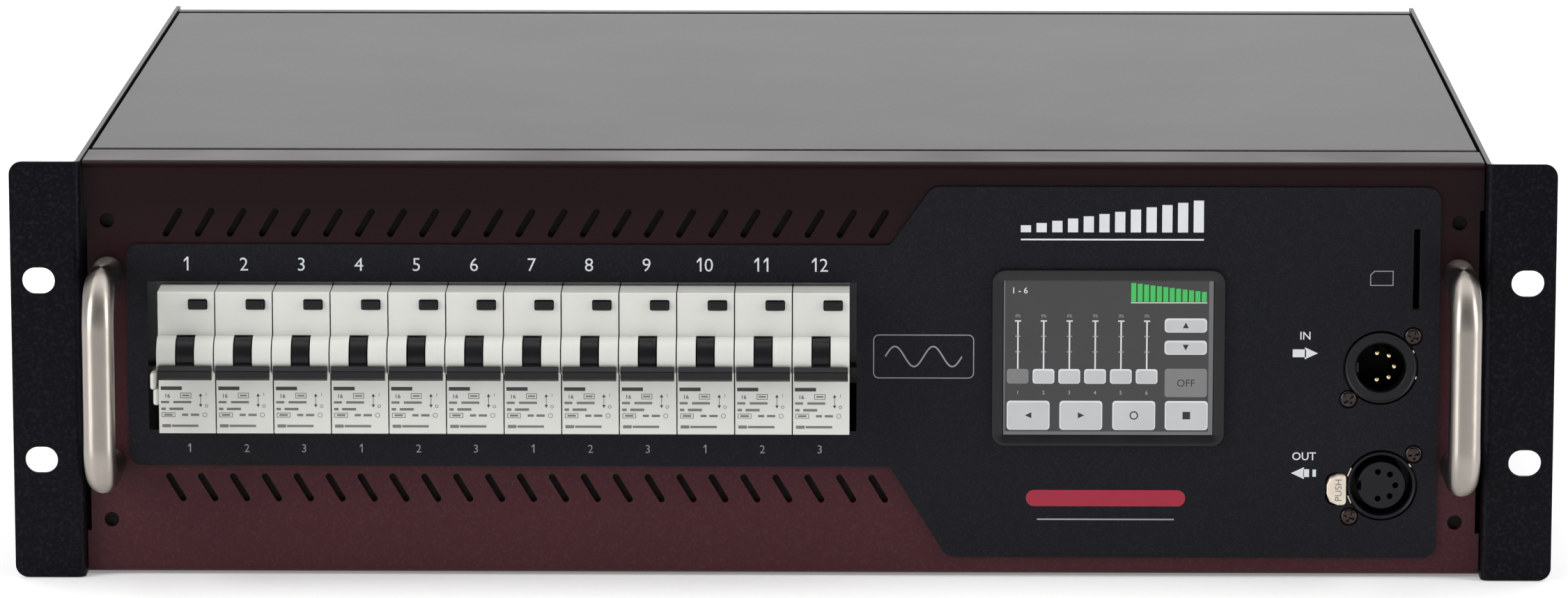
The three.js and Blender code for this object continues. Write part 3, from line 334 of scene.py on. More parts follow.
# Dark backing behind the vents and the panel's holes: painted shade that keeps the openings dark
OPENING_SHADE = Finish(
    "opening_painted_shade", "textured_black", "#2a2627", 0.95, mirror=0.05, grain_size=1.4, grain_height=0.5
)
# Studio paper, white, with a painted glow that brightens it all over and painted shade that greys it in front
# of the pack, which the matt front mirrors
STUDIO_PAPER = Finish(
    "matt_studio_paper", "", "#f4f4f4", 0.8, mirror=0.1, mottle_share=0.01, mottle_size=300, fade="#cacaca",
    glow=0.25,
)


def backlit(name: str, colour: str, roughness: float = 0.5) -> Finish:
    """Give a colour behind the touch film: light of its own under a satin film."""
    return Finish(f"backlit_{name}", "screen_glass", colour, roughness, glow=1, mirror=0.25)


SCREEN_GREY = backlit("grey", "#434344", 0.4)
SCREEN_EDGE = backlit("edge", "#6c6c6e", 0.4)
SCREEN_LIGHT = backlit("light", "#d6d8d9")
SCREEN_FACE = backlit("key_face", "#bfc1c3")
SCREEN_DIM = backlit("dim", "#7c7c7d")
SCREEN_TEXT = backlit("small_figures", "#9c9d9e")
SCREEN_DARK = backlit("mark", "#303133")
SCREEN_GREEN = backlit("green", "#4cbb63")
SCREEN_SHADE = backlit("dark_green", "#22562f")


# Workbench


def deselect() -> None:
    """Leave nothing selected, because an operator acts on all that is."""
    bpy.ops.object.select_all(action="DESELECT")


@dataclass
class Piece:
    """One mesh on the bench, shaped with Blender's own operators, in millimetres of the drawing."""

    shape: bpy.types.Object

    @classmethod
    def taken(cls) -> "Piece":
        """Take the primitive just added, its place moved into its mesh."""
        bpy.ops.object.transform_apply(location=True, rotation=True, scale=True)
        return cls(bpy.context.object)

    @classmethod
    def block(cls, xs: Point, ys: Point, zs: Point) -> "Piece":
        """Add a box between two limits on each axis."""
        low, high = (spot(corner) for corner in zip(xs, ys, zs, strict=True))
        deselect()
        bpy.ops.mesh.primitive_cube_add(size=1, location=(low + high) / 2, scale=high - low)
        return cls.taken()

    @classmethod
    def drum(
        cls, centre: Point, radius: float, length: float, axis: Axis = Axis.Y, sides: int = 64
    ) -> "Piece":
        """Add a cylinder round its middle point."""
        deselect()
        bpy.ops.mesh.primitive_cylinder_add(
            vertices=sides, radius=mm(radius), depth=mm(length), location=spot(centre),
            rotation=axis.value[1],
        )
        return cls.taken()

    @classmethod
    def outlined(cls, axis: Axis, outline: Outline, level: float, steps: int = 8) -> "Piece":
        """Add one flat face from an outline, its corners rounded by vertex bevels.

        Args:
            axis: Axis that the face is square to.
            outline: Corners, each with the radius that rounds it.
            level: Level of the face along the axis.
            steps: Facets of each rounded corner.
        """
        deselect()
        bpy.ops.mesh.primitive_circle_add(vertices=len(outline), fill_type="NGON")
        piece = cls.taken()
        reaches: dict[float, list[Vector]] = {}
        for i, (a, b, radius) in enumerate(outline):
            piece.shape.data.vertices[i].co = axis.point(a, b, level)
            if radius:
                ends = (outline[j % len(outline)][:2] for j in (i - 1, i + 1))
                before, after = (Vector(end) - Vector((a, b)) for end in ends)
                reach = round(radius / math.tan(before.angle(after) / 2), 4)
                reaches.setdefault(reach, []).append(drawn(axis.point(a, b, level)))
        for reach, places in reaches.items():
            piece.pick(
                lambda here, _, places=places: any((here - p).length < SAME_PLACE for p in places), "VERT"
            )
            bpy.ops.mesh.bevel(offset=mm(reach), segments=steps, affect="VERTICES")
            piece.rest()
        return piece

    @classmethod
    def raised(cls, axis: Axis, outline: Outline, start: float, end: float, steps: int = 8) -> "Piece":
        """Raise an outline into a solid between two levels along an axis."""
        piece = cls.outlined(axis, outline, start, steps).edit()
        bpy.ops.mesh.select_all(action="SELECT")
        piece.extrude(Vector(axis.value[0]) * (end - start))
        bpy.ops.mesh.select_all(action="SELECT")
        bpy.ops.mesh.normals_make_consistent(inside=False)
        return piece.rest()

    @classmethod
    def printed(cls, outline: Outline, level: float, line: float = 0) -> "Piece":
        """Print a flat outline that faces the front, or only its border if a line width is given."""
        piece = cls.outlined(Axis.Y, outline, level, 6)
        if line:
            piece.pick(lambda *_: True).inset(line)
            bpy.ops.mesh.delete(type="FACE")
            piece.rest()
        return piece.facing_front()

    @classmethod
    def text(cls, words: str, middle: Point, height: float, weight: float = 0.012) -> "Piece":
        """Print words that face the front, by their middle and the height of their capitals."""
        deselect()
        bpy.ops.object.text_add(rotation=Axis.Y.value[1])
        letters = bpy.context.object.data
        letters.body = words
        letters.size = mm(height) / CAPITAL_SHARE
        letters.offset = mm(height) * weight
        letters.align_x = "CENTER"
        letters.resolution_u = 3
        bpy.ops.object.convert(target="MESH")
        bpy.context.object.location = spot(middle) - Vector((0, 0, mm(height / 2)))
        return cls.taken()

    @classmethod
    def node_copy(cls, node: str) -> "Piece":
        """Copy a CAD node's mesh, its loose triangles merged into whole faces."""
        shape = bpy.data.objects.new(node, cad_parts[node].data.copy())
        bpy.context.collection.objects.link(shape)
        piece = cls(shape).edit()
        bpy.ops.mesh.select_all(action="SELECT")
        bpy.ops.mesh.remove_doubles(threshold=mm(WELD_REACH))
        bpy.ops.mesh.dissolve_limited(angle_limit=math.radians(FLAT_ANGLE))
        return piece.rest()

    def hold(self) -> None:
        """Make this the one selected and active object."""
        deselect()
        self.shape.select_set(True)
        bpy.context.view_layer.objects.active = self.shape

    def edit(self, kind: str = "FACE") -> "Piece":
        """Go into edit mode with nothing selected."""
        self.hold()
        bpy.ops.object.mode_set(mode="EDIT")
        bpy.ops.mesh.select_all(action="DESELECT")
        bpy.ops.mesh.select_mode(type=kind)
        return self

    def rest(self) -> "Piece":
        """Leave edit mode."""
        bpy.ops.object.mode_set(mode="OBJECT")
        return self

    def pick(self, test: Test, kind: str = "FACE") -> "Piece":
        """Select, in edit mode, the parts of a kind whose middle and way pass a test.

        An edge's way is its direction, and a face's or corner's is its normal.
        """
        self.edit(kind)
        mesh = bmesh.from_edit_mesh(self.shape.data)
        for part in {"VERT": mesh.verts, "EDGE": mesh.edges, "FACE": mesh.faces}[kind]:
            corners = [corner.co for corner in getattr(part, "verts", (part,))]
            way = (corners[1] - corners[0]).normalized() if kind == "EDGE" else part.normal
            part.select_set(test(drawn(sum(corners, Vector()) / len(corners)), way))
        bmesh.update_edit_mesh(self.shape.data)
        return self

    def inset(self, thickness: float, depth: float = 0) -> "Piece":
        """Inset the selected faces; a positive depth raises them."""
        bpy.ops.mesh.inset(thickness=mm(thickness), depth=mm(depth))
        return self

    def extrude(self, offset: Point) -> "Piece":
        """Extrude the selected faces by an offset."""
        move = {"value": tuple(mm(part) for part in offset)}
        bpy.ops.mesh.extrude_region_move(TRANSFORM_OT_translate=move)
        return self

    def bevel(self, radius: float, segments: int) -> "Piece":
        """Round the selected edges and leave edit mode."""
        bpy.ops.mesh.bevel(offset=mm(radius), segments=segments, affect="EDGES")
        return self.rest()

    def facing_front(self) -> "Piece":
        """Turn the faces of a flat piece towards the front."""
        self.pick(lambda _, normal: normal.y > 0)
        bpy.ops.mesh.flip_normals()
        return self.rest()

    def modify(self, kind: str, **settings: object) -> "Piece":
        """Add a modifier of a kind with its settings and apply it."""
        modifier = self.shape.modifiers.new(kind.lower(), kind)
        for name, value in settings.items():
            setattr(modifier, name, value)
        self.hold()
        bpy.ops.object.modifier_apply(modifier=modifier.name)
        return self

    def soften(self, width: float, segments: int = 2, angle: float = 30) -> "Piece":
        """Round every edge that is sharper than an angle in degrees."""
        return self.modify(
            "BEVEL", width=mm(width), segments=segments, limit_method="ANGLE",
            angle_limit=math.radians(angle), use_clamp_overlap=True,
        )

    def smooth(self, angle: float = 40) -> "Piece":
        """Shade smooth below an angle, flats kept flat by weighing normals by face area."""
        self.hold()
        bpy.ops.object.shade_smooth_by_angle(angle=math.radians(angle))
        return self.modify("WEIGHTED_NORMAL", keep_sharp=True)

    def cut(self, *others: "Piece", operation: str = "DIFFERENCE") -> "Piece":
        """Cut other pieces out of this one, which uses them up."""
        for other in others:
            self.modify("BOOLEAN", operation=operation, solver="EXACT", object=other.shape)
            bpy.data.meshes.remove(other.shape.data)
        return self

    def unite(self, *others: "Piece") -> "Piece":
        """Unite other pieces with this one, which uses them up."""
        return self.cut(*others, operation="UNION")

    def copy(self, offset: Point) -> "Piece":
        """Copy with a mesh of its own, moved by an offset."""
        shape = self.shape.copy()
        shape.data = self.shape.data.copy()
        bpy.context.collection.objects.link(shape)
        shape.data.transform(Matrix.Translation(Vector(offset) / 1000))
        return Piece(shape)

    def turned(self, degrees: float, axis: str, centre: Point) -> "Piece":
        """Turn the mesh about an axis through a point."""
        move = Matrix.Translation(spot(centre))
        self.shape.data.transform(move @ Matrix.Rotation(math.radians(degrees), 4, axis) @ move.inverted())
        return self

    def coat(self, name: str, finish: Finish) -> None:
        """Name the piece and give it one finish."""
        self.shape.name = self.shape.data.name = name
        self.shape.data.materials.clear()
        self.shape.data.materials.append(finish.made())

    def fit(self, name: str, finish: Finish, *nodes: str, body: str = CHASSIS, slot: str = "") -> None:
        """Name and coat the piece, hang it on its body's empty and hide the CAD nodes that it stands for.

        Args:
            name: Name of the piece.
            finish: Finish of the whole piece.
            nodes: CAD nodes that it stands for.
            body: Body that it moves with.
            slot: Material slot of the record, where it isn't the finish's own; not used.
        """
        self.coat(name, finish)
        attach(self.shape, body)
        if nodes:
            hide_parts(*nodes)
        LOG.info("%s rides on %s", name, body)


def merged(*pieces: Piece) -> Piece:
    """Join several pieces into one."""
    pieces[0].hold()
    for piece in pieces:
        piece.shape.select_set(True)
    if len(pieces) > 1:
        bpy.ops.object.join()
    return pieces[0]


def fit_screws(
    name: str, places: Sequence[Point], size: Point, turns: Point, facing: float = 0, slot: str = ""
) -> None:
    """Fit pan head screws with cross recesses as one piece.

    Args:
        name: Name of the piece.
        places: Middles of the heads' undersides.
        size: Radius and height of a head.
        turns: Turn of the first cross and the further turn of each next one, in degrees.
        facing: Turn of the heads from the front, about an upright line.
        slot: Material slot of the record, where it isn't the finish's own; passed on to fit, which doesn't
            use it.
    """
    (radius, height), (turn, step) = size, turns
    arm, wide = (radius * share for share in CROSS_SHARES)
    heads = []
    for i, (x, y, z) in enumerate(places):
        head = Piece.drum((x, y - height / 2, z), radius, height, sides=48)
        head.pick(lambda place, way, y=y: abs(way.y) < 0.1 and place.y < y - height * 0.9, "EDGE")
        head.bevel(height * 0.6, 5)
        ys = (y - height * 1.2, y - height * 0.1)
        for half_x, half_z in ((arm, wide), (wide, arm)):
            head.cut(Piece.block((x - half_x, x + half_x), ys, (z - half_z, z + half_z)))
        head.turned(turn + step * i, "Y", (x, y, z)).turned(facing, "Z", (x, y, z))
        heads.append(head.smooth())
    merged(*heads).fit(name, DARK_SCREW, slot=slot)


# Sheet metal


@dataclass(frozen=True)
class Openings:
    """Places of all that comes through the overlay and panel: middle, size and corner radius."""

    window: Sizes = (-87.9, 70.3, 222.2, 47.4, 0.4)
    screen: Sizes = (102.0, 70.4, 69.5, 53.0, 1.4)
    card: Sizes = (198.05, 98.65, 3.5, 25.9, 0.5)
    tab: Sizes = (173.85, 28.5, 6.9, 10.5, 3.0)
    inlet: Sizes = (187.3, 67.3)
    outlet: Sizes = (188.0, 29.7)
    shell_holes: Sizes = (11.8, 11.3)
    screw_offset: float = 10
    screw_hole: float = 3

    def cutters(self, near: float, far: float, widen: float = 0) -> list[Piece]:
        """Make the cutters of all openings, widened all round for the panel behind the overlay.

        The last one overlaps another, so it has to cut on its own.
        """
        pieces = [
            Piece.drum((x, (near + far) / 2, z), radius + widen, far - near, sides=96)
            for (x, z), radius in zip((self.inlet, self.outlet), self.shell_holes, strict=True)
        ]
        for x, z, width, height, radius in (self.window, self.screen, self.card, self.tab):
            outline = rect(x, z, width + 2 * widen, height + 2 * widen, radius)
            pieces.append(Piece.raised(Axis.Y, outline, near, far, 6))
        return pieces

    def screw_places(self) -> list[Sizes]:
        """Places of the connectors' screws."""
        reaches = (self.screw_offset, -self.screw_offset)
        return [(x + reach, z + reach) for x, z in (self.inlet, self.outlet) for reach in reaches]


OPENINGS = Openings()


@dataclass
class SheetMetal:
    """Front panel, overlay, side plates with ears, lid and rear panel, with deburred edges."""

    ear_half: float = 241.3
    ear_corner: float = 4
    rack_slot: Sizes = (232.55, 37.675, 10.2, 8.3, 4.1)
    rack_slot_pitch: float = 57.15
    side_outer: float = 220.8
    side_inner: float = 219.3
    side_bends: Sizes = (2.5, 1)
    side_screw_ys: Sizes = (60, 182, 304)
    side_screw_zs: Sizes = (18, 124)
    side_screw: Sizes = (2.8, 1.3)
    inner_half: float = 219.0
    depth: float = 347.0
    height: float = 132.5
    panel_faces: Sizes = (5.0, 7.0)
    panel_heights: Sizes = (0.7, 132.0)
    panel_flange: float = 27.7
    panel_bends: Sizes = (2.4, 0.4)
    panel_widen: float = 0.6
    skin_faces: Sizes = (3.9, 4.9)
    skin: tuple[Sizes, ...] = (
        (-205.4, 35.3, 4), (33.65, 35.3, 2), (51.55, 6.4, 4.5), (205.4, 6.4, 4.5),
        (205.4, 124.5, 4.5), (46.85, 124.5, 4.5), (33.65, 105.9, 2), (-205.4, 105.9, 4),
    )
    reach: float = 3
    vent: Sizes = (10.2, 2, 0.98)
    vent_x: float = -190.8
    vent_pitch: float = 10.04
    vent_count: int = 23
    vent_rows: tuple[Sizes, ...] = ((112.6, 59.0), (28.0, -59.0))
    hole_xs: Sizes = (-211.3, 211.3)
    hole_zs: Sizes = (17.6, 113.2)
    hole_radius: float = 2.3
    hole_cut: float = 12
    notch_ends: Sizes = (-1.3, 2)
    notch_heights: Sizes = (14.1, 117.0)
    sleeve_back: float = 20
    sleeve_widths: Sizes = (2.5, 2.1)
    foam_gaps: Sizes = (0.2, 0.7)
    strip: Sizes = (-196, 38)
    half_strip: float = 7
    half_pad: float = 4
    rear_face: float = 344.0
    rear_flange: float = 336.0
    rear_thick: float = 1.5
    rear_heights: Sizes = (0.5, 132.0)
    rear_bends: Sizes = (2.5, 1)
    rear_reach: float = 5
    gland_hole: Sizes = (-165, 66.25, 16.3)
    connector_hole: Sizes = (-45, 66.25, 111, 31, 4)
    fan_slot: Sizes = (5, 2.45)
    fan_rises: Sizes = (-30, -20, -10, 0, 10, 20, 30)
    fan: Sizes = (127.0, 66.25)
    fan_radius: float = 37.0
    edge: float = 0.16

    def build(self) -> None:
        """Make every sheet, then what stands in the slots."""
        self._front_panel()
        self._overlay()
        for side, word in ((-1, "left"), (1, "right")):
            self._side_plate(side, word)
        lid = Piece.node_copy("top_cover").soften(self.edge)
        lid.smooth(35).fit("lid_sheet", BLACK_COAT, "top_cover")
        self._rear_panel()
        self._card_sleeve()
        self._filters()

    def _channel(self, face: float, end: float, thick: float, heights: Sizes, bends: Sizes) -> Piece:
        """Sheet as wide as the case, its upper and lower edges bent away from a face to an end."""
        (low, high), (outer, inner), back = heights, bends, face + math.copysign(thick, end - face)
        outline = [
            (end, low, 0), (end, low + thick, 0), (back, low + thick, inner), (back, high - thick, inner),
            (end, high - thick, 0), (end, high, 0), (face, high, outer), (face, low, outer),
        ]
        return Piece.raised(Axis.X, outline, -self.inner_half, self.inner_half)

    def _front_panel(self) -> None:
        """Channel with vent slots, notched ends and openings."""
        face, back = self.panel_faces
        panel = self._channel(face, self.panel_flange, back - face, self.panel_heights, self.panel_bends)
        near, far = face - self.reach, back + self.reach
        *tools, tab = OPENINGS.cutters(near, far, self.panel_widen)
        for level, tilt in self.vent_rows:
            vent = lean(rect(self.vent_x, level, *self.vent), tilt)
            first = Piece.raised(Axis.Y, vent, near, far, 5)
            tools += [first.copy((i * self.vent_pitch, 0, 0)) for i in range(1, self.vent_count)]
            tools.append(first)
        for x in self.hole_xs:
            tools += [
                Piece.drum((x, face, z), self.hole_radius, self.hole_cut, sides=32) for z in self.hole_zs
            ]
            ends = (math.copysign(self.inner_half + reach, x) for reach in self.notch_ends)
            tools.append(Piece.block(sorted(ends), (near, far), self.notch_heights))
        panel.cut(merged(*tools), tab).soften(self.edge)
        panel.smooth(30).fit("front_panel_sheet", MAROON_COAT, "front_panel")

    def _overlay(self) -> None:
        """Thin plate with a lobe round the breakers and a head round the controls."""
        front, back = self.skin_faces
        skin = Piece.raised(Axis.Y, self.skin, front, back, 10)
        *tools, tab = OPENINGS.cutters(front - self.reach, back + self.reach)
        radius, length = OPENINGS.screw_hole, 2 * self.reach
        holes = [Piece.drum((x, front, z), radius, length, sides=48) for x, z in OPENINGS.screw_places()]
        skin.cut(merged(*tools), merged(tab, *holes)).soften(0.15)
        skin.smooth(30).fit("overlay_sheet", OVERLAY_SKIN, "fascia_overlay")

    def _side_plate(self, side: int, word: str) -> None:
        """Side plate with the rack ear bent out of it, and its screws."""
        inner, outer, ear = (side * x for x in (self.side_inner, self.side_outer, self.ear_half))
        thick, (outside, inside) = self.side_outer - self.side_inner, self.side_bends
        outline = [
            (ear, 0, 0), (inner, 0, outside), (inner, self.depth, 0),
            (outer, self.depth, 0), (outer, thick, inside), (ear, thick, 0),
        ]
        plate = Piece.raised(Axis.Z, outline, 0, self.height, 10)
        plate.pick(lambda place, way: abs(way.y) > 0.9 and abs(place.x) > self.ear_half - 0.1, "EDGE")
        plate.bevel(self.ear_corner, 10)
        x, *sizes = self.rack_slot
        hole = Piece.raised(Axis.Y, rect(side * x, *sizes), -self.reach, thick + self.reach, 12)
        plate.cut(merged(hole, hole.copy((0, 0, self.rack_slot_pitch)))).soften(self.edge)
        plate.smooth(30).fit(f"side_plate_{word}", BLACK_COAT, f"side_panel_{word}")
        places = [(outer, y, z) for y in self.side_screw_ys for z in self.side_screw_zs]
        fit_screws(f"side_screws_{word}", places, self.side_screw, (0, 20), side * 90, BLACK_COAT.slot)

    def _rear_panel(self) -> None:
        """Channel turned forward, with the fan's slots and the fittings' holes."""
        face, (x, z, radius) = self.rear_face, self.gland_hole
        panel = self._channel(face, self.rear_flange, self.rear_thick, self.rear_heights, self.rear_bends)
        near, far = face - self.rear_reach, face + self.rear_reach
        tools = [Piece.drum((x, face, z), radius, far - near)]
        tools.append(Piece.raised(Axis.Y, rect(*self.connector_hole), near, far, 6))
        for rise in self.fan_rises:
            length = 2 * math.sqrt(self.fan_radius**2 - rise**2)
            slot = rect(self.fan[0], self.fan[1] + rise, length, *self.fan_slot)
            tools.append(Piece.raised(Axis.Y, slot, near, far, 6))
        panel.cut(merged(*tools)).soften(self.edge)
        panel.smooth(30).fit("rear_sheet", BLACK_COAT, "rear_panel")

    def _card_sleeve(self) -> None:
        """Black sleeve that leads a memory card through overlay and panel."""
        (x, z, width, height, radius), (outer, inner) = OPENINGS.card, self.sleeve_widths
        collar = rect(x, z, width - 0.04, height - 0.04, radius)
        sleeve = Piece.raised(Axis.Y, collar, self.skin_faces[0] + 0.4, self.panel_faces[1])
        sleeve.unite(Piece.raised(Axis.Y, rect(x, z, outer, height - 0.1), 4.5, self.sleeve_back))
        sleeve.cut(Piece.raised(Axis.Y, rect(x, z, inner, height - 0.6), 3, self.sleeve_back + 1))
        sleeve.soften(0.1).smooth(30).fit("card_sleeve", INSULATOR, slot=BLACK_COAT.slot)

    def _filters(self) -> None:
        """Dark strips behind the vents and pads behind the panel's holes: painted shade that keeps them dark.
        """
        ys = [self.panel_faces[1] + gap for gap in self.foam_gaps]
        half, pad = self.half_strip, self.half_pad
        shade_pieces = [Piece.block(self.strip, ys, (level - half, level + half)) for level, _ in self.vent_rows]
        for x in self.hole_xs:
            shade_pieces += [Piece.block((x - pad, x + pad), ys, (z - pad, z + pad)) for z in self.hole_zs]
        merged(*shade_pieces).fit("opening_shade_backing", OPENING_SHADE)


@dataclass
class Inside:
    """What fills the case, kept in its CAD shape and seen only through slots."""

    coats: tuple[tuple[str, Finish], ...] = (
        ("base_plate", ZINC_STEEL), ("din_rail", ZINC_STEEL), ("control_board", BOARD_GREEN),
        ("heatsink", ALUMINIUM), ("choke_tray", COPPER_WINDING), ("fan_frame", FAN_PLASTIC),
        ("fan_impeller", FAN_PLASTIC),
    )

    def build(self) -> None:
        """Give each node its finish."""
        for node, finish in self.coats:
            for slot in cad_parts[node].material_slots:
                slot.material = finish.made()
            LOG.info("%s keeps its CAD shape", node)


# Handles


@dataclass
class Handle:
    """Round bar bent twice, standing on the front panel."""

    side: str
    bend_steps: int = 14
    bend_radius: float = 12

    def build(self) -> None:
        """Sweep a disc out along the lower leg, up the grip and back to the panel."""
        low, high = limits(f"handle_{self.side}")
        radius, middle = (high.x - low.x) / 2, (low.x + high.x) / 2
        foot, head = low.z + radius, high.z - radius
        bend = low.y + radius + self.bend_radius
        leg = high.y - bend
        bar = Piece.drum((middle, bend + leg / 2, foot), radius, leg, sides=40)
        bar.pick(lambda _, normal: normal.y < -0.9)
        self._bend((middle, bend, foot + self.bend_radius))
        bar.extrude((0, 0, head - foot - 2 * self.bend_radius))
        self._bend((middle, bend, head - self.bend_radius))
        bar.extrude((0, leg, 0)).rest()
        bar.smooth().fit(f"handle_bar_{self.side}", SATIN_STEEL, f"handle_{self.side}")

    def _bend(self, centre: Point) -> None:
        """Spin the selected end of the bar a quarter turn round the bend's centre."""
        bpy.ops.mesh.spin(steps=self.bend_steps, angle=math.pi / 2, center=spot(centre), axis=(1, 0, 0))


# Breakers


@dataclass
class BreakerRow:
    """Breakers with moulded housing, toggle with a cross bar and test button, made once and copied."""

    left: float = -194.6
    right: float = -177.0
    level: float = 70.3
    face: float = -8
    nose_depth: float = 16
    back: float = 57
    half_nose: float = 22.5
    half_shoulder: float = 40.5
    pivot: Sizes = (-185.8, -9, 73.1)
    cheek_radius: float = 6
    drum_radius: float = 5.6
    gap: float = 0.4
    half_slot: float = 3
    off_angle: float = 38
    bar: Sizes = (2.4, 3.4, 2.2)
    half_neck: float = 1.5
    well: Sizes = (-182.1, 88.9)
    well_size: Sizes = (6.1, 3.4, 0.6)
    well_depth: float = 9
    ring_outer: Sizes = (6, 3.3, 0.55)
    ring_inner: Sizes = (5.3, 2.55, 0.3)
    lugs: tuple[Sizes, ...] = ((-197.3, 59.9, 65.3), (-196.4, 54.9, 60.1))
    lug_half: float = 0.9
    lug_ys: Sizes = (1, 15)

    def build(self) -> None:
        """Make the first breaker and copy it along the row."""
        pieces = [
            ("breaker_housing", self._housing(), HOUSING_PLASTIC, "breaker_body", CHASSIS),
            ("breaker_bushing", self._bushing(), TOGGLE_PLASTIC, "", CHASSIS),
            ("breaker_marks", self._marks(), PAD_INK, "", CHASSIS),
            ("breaker_fine_marks", self._fine_marks(), FADED_INK, "", CHASSIS),
            ("breaker_lever", self._toggle(), TOGGLE_PLASTIC, "breaker_toggle", "toggle"),
            ("breaker_test_key", self._button(), TOGGLE_PLASTIC, "test_button", "button"),
        ]
        for i in range(CHANNELS):
            number = f"_{i + 1:02d}"
            for name, first, finish, node, body in pieces:
                piece = first if i == 0 else first.copy((i * CHANNEL_PITCH, 0, 0))
                owner = body if body == CHASSIS else body + number
                piece.fit(name + number, finish, *([node + number] if node else []), body=owner)

    def _housing(self) -> Piece:
        """Nose and shoulders with rounded cheeks, a toggle slot and a button well."""
        face, step, level = self.face, self.face + self.nose_depth, self.level
        nose, shoulder = self.half_nose, self.half_shoulder
        profile = [
            (face, level - nose, 0.6), (step, level - nose, 0), (step, level - shoulder, 0.8),
            (self.back, level - shoulder, 0), (self.back, level + shoulder, 0),
            (step, level + shoulder, 0.8), (step, level + nose, 0), (face, level + nose, 0.6),
        ]
        body = Piece.raised(Axis.X, profile, self.left, self.right)
        width, drum = self.right - self.left, self.drum_radius + self.gap * 1.5
        body.unite(Piece.drum(self.pivot, self.cheek_radius, width, Axis.X, 96))
        body.cut(Piece.drum(self.pivot, drum, 2 * self.half_slot, Axis.X, 96))
        well = rect(*self.well, *self.well_size)
        body.cut(Piece.raised(Axis.Y, well, face - 2, face + self.well_depth))
        return body.soften(0.22, 3, 35).smooth()

    def _bushing(self) -> Piece:
        """Black ring that guides the test button."""
        outer, inner = (rect(*self.well, *size) for size in (self.ring_outer, self.ring_inner))
        ring = Piece.raised(Axis.Y, outer, self.face - 0.1, self.face + 5)
        ring.cut(Piece.raised(Axis.Y, inner, self.face - 2, self.face + self.well_depth))
        return ring.soften(0.08).smooth()

    def _toggle(self) -> Piece:
        """Drum with neck and ridged cross bar, turned to the off position."""
        half, thin, (x, y, z) = self.half_slot - self.gap, self.half_neck, self.pivot
        back = y - self.cheek_radius - self.gap
        edge, ridge, tall = self.bar
        drum = Piece.drum(self.pivot, self.drum_radius, 2 * half, Axis.X)
        neck = Piece.block((x - half, x + half), (back - 1, y), (z - thin, z + thin))
        profile = [
            (back, z - tall, 0.3), (back, z + tall, 0.3), (back - edge, z + tall, 0.5),
            (back - ridge, z, 0.6), (back - edge, z - tall, 0.5),
        ]
        low, high = limits("breaker_toggle_01")
        bar = Piece.raised(Axis.X, profile, low.x, high.x, 3)
        drum.unite(neck, bar).turned(self.off_angle, "X", self.pivot)
        return drum.soften(0.18).smooth()

    def _button(self) -> Piece:
        """Test button with its edges rounded."""
        button = Piece.block(*zip(*limits("test_button_01"), strict=True))
        return button.soften(0.25, 3).smooth()

    def _mark(
        self, across: float, down: float, width: float, height: float, radius: float = 0, line: float = 0
    ) -> Piece:
        """Print a bar or frame by its middle, from the housing's left edge and under its middle."""
        outline = rect(self.left + across, self.level - down, width, height, radius)
        return Piece.printed(outline, self.face - PRINT_LIFT, line)

    def _marks(self) -> Piece:
        """Bold line, rating figure and on and off arrows."""
        front, arrow = self.face - PRINT_LIFT, self.left + 13
        pieces = [
            self._mark(3.9, 8.05, 6.6, 1.15),
            Piece.text("16", (self.left + 2.6, front, self.level - 10.4), 1.35),
            self._mark(13.0, 11.85, 0.16, 2.8),
            self._mark(8.4, 10.35, 3.4, 1.7, 0, 0.16),
            self._mark(2.9, 16.5, 4.2, 1.5, 0, 0.16),
        ]
        for z, tip in ((self.level - 10.6, 0.95), (self.level - 13.1, -0.95)):
            head = [(arrow - 0.55, z, 0), (arrow + 0.55, z, 0), (arrow, z + tip, 0)]
            pieces.append(Piece.printed(head, front))
        return merged(*pieces)

    def _fine_marks(self) -> Piece:
        """Thin rows of rating lines, I and O beside the arrows."""
        rows = [
            (1.9, 12.45, 2.5, 0.75), (7.3, 12.45, 5.6, 0.75), (1.4, 14.6, 1.4, 0.8), (5.4, 14.6, 4.4, 0.8),
            (8.1, 16.5, 1.9, 0.75), (11.2, 16.5, 2.6, 0.75), (2.3, 20.0, 2.7, 1.0), (8.1, 20.0, 8.3, 0.75),
            (2.9, 16.5, 2.6, 0.6), (8.4, 10.35, 2.2, 0.5), (14.8, 9.95, 0.16, 0.95),
            (14.8, 13.65, 1.05, 1.05, 0.5, 0.18), (14.3, 16.5, 1.5, 1.5, 0.72, 0.18),
        ]
        return merged(*(self._mark(*row) for row in rows))

    def clip(self) -> None:
        """Make the two rounded lugs of the clip that holds the row's left end."""
        pieces = [
            Piece.block((x - self.lug_half, x + self.lug_half), self.lug_ys, (low, high)).soften(0.8, 4)
            for x, low, high in self.lugs
        ]
        merged(*pieces).smooth().fit("row_end_clip", HOUSING_PLASTIC)


# Prints on the overlay


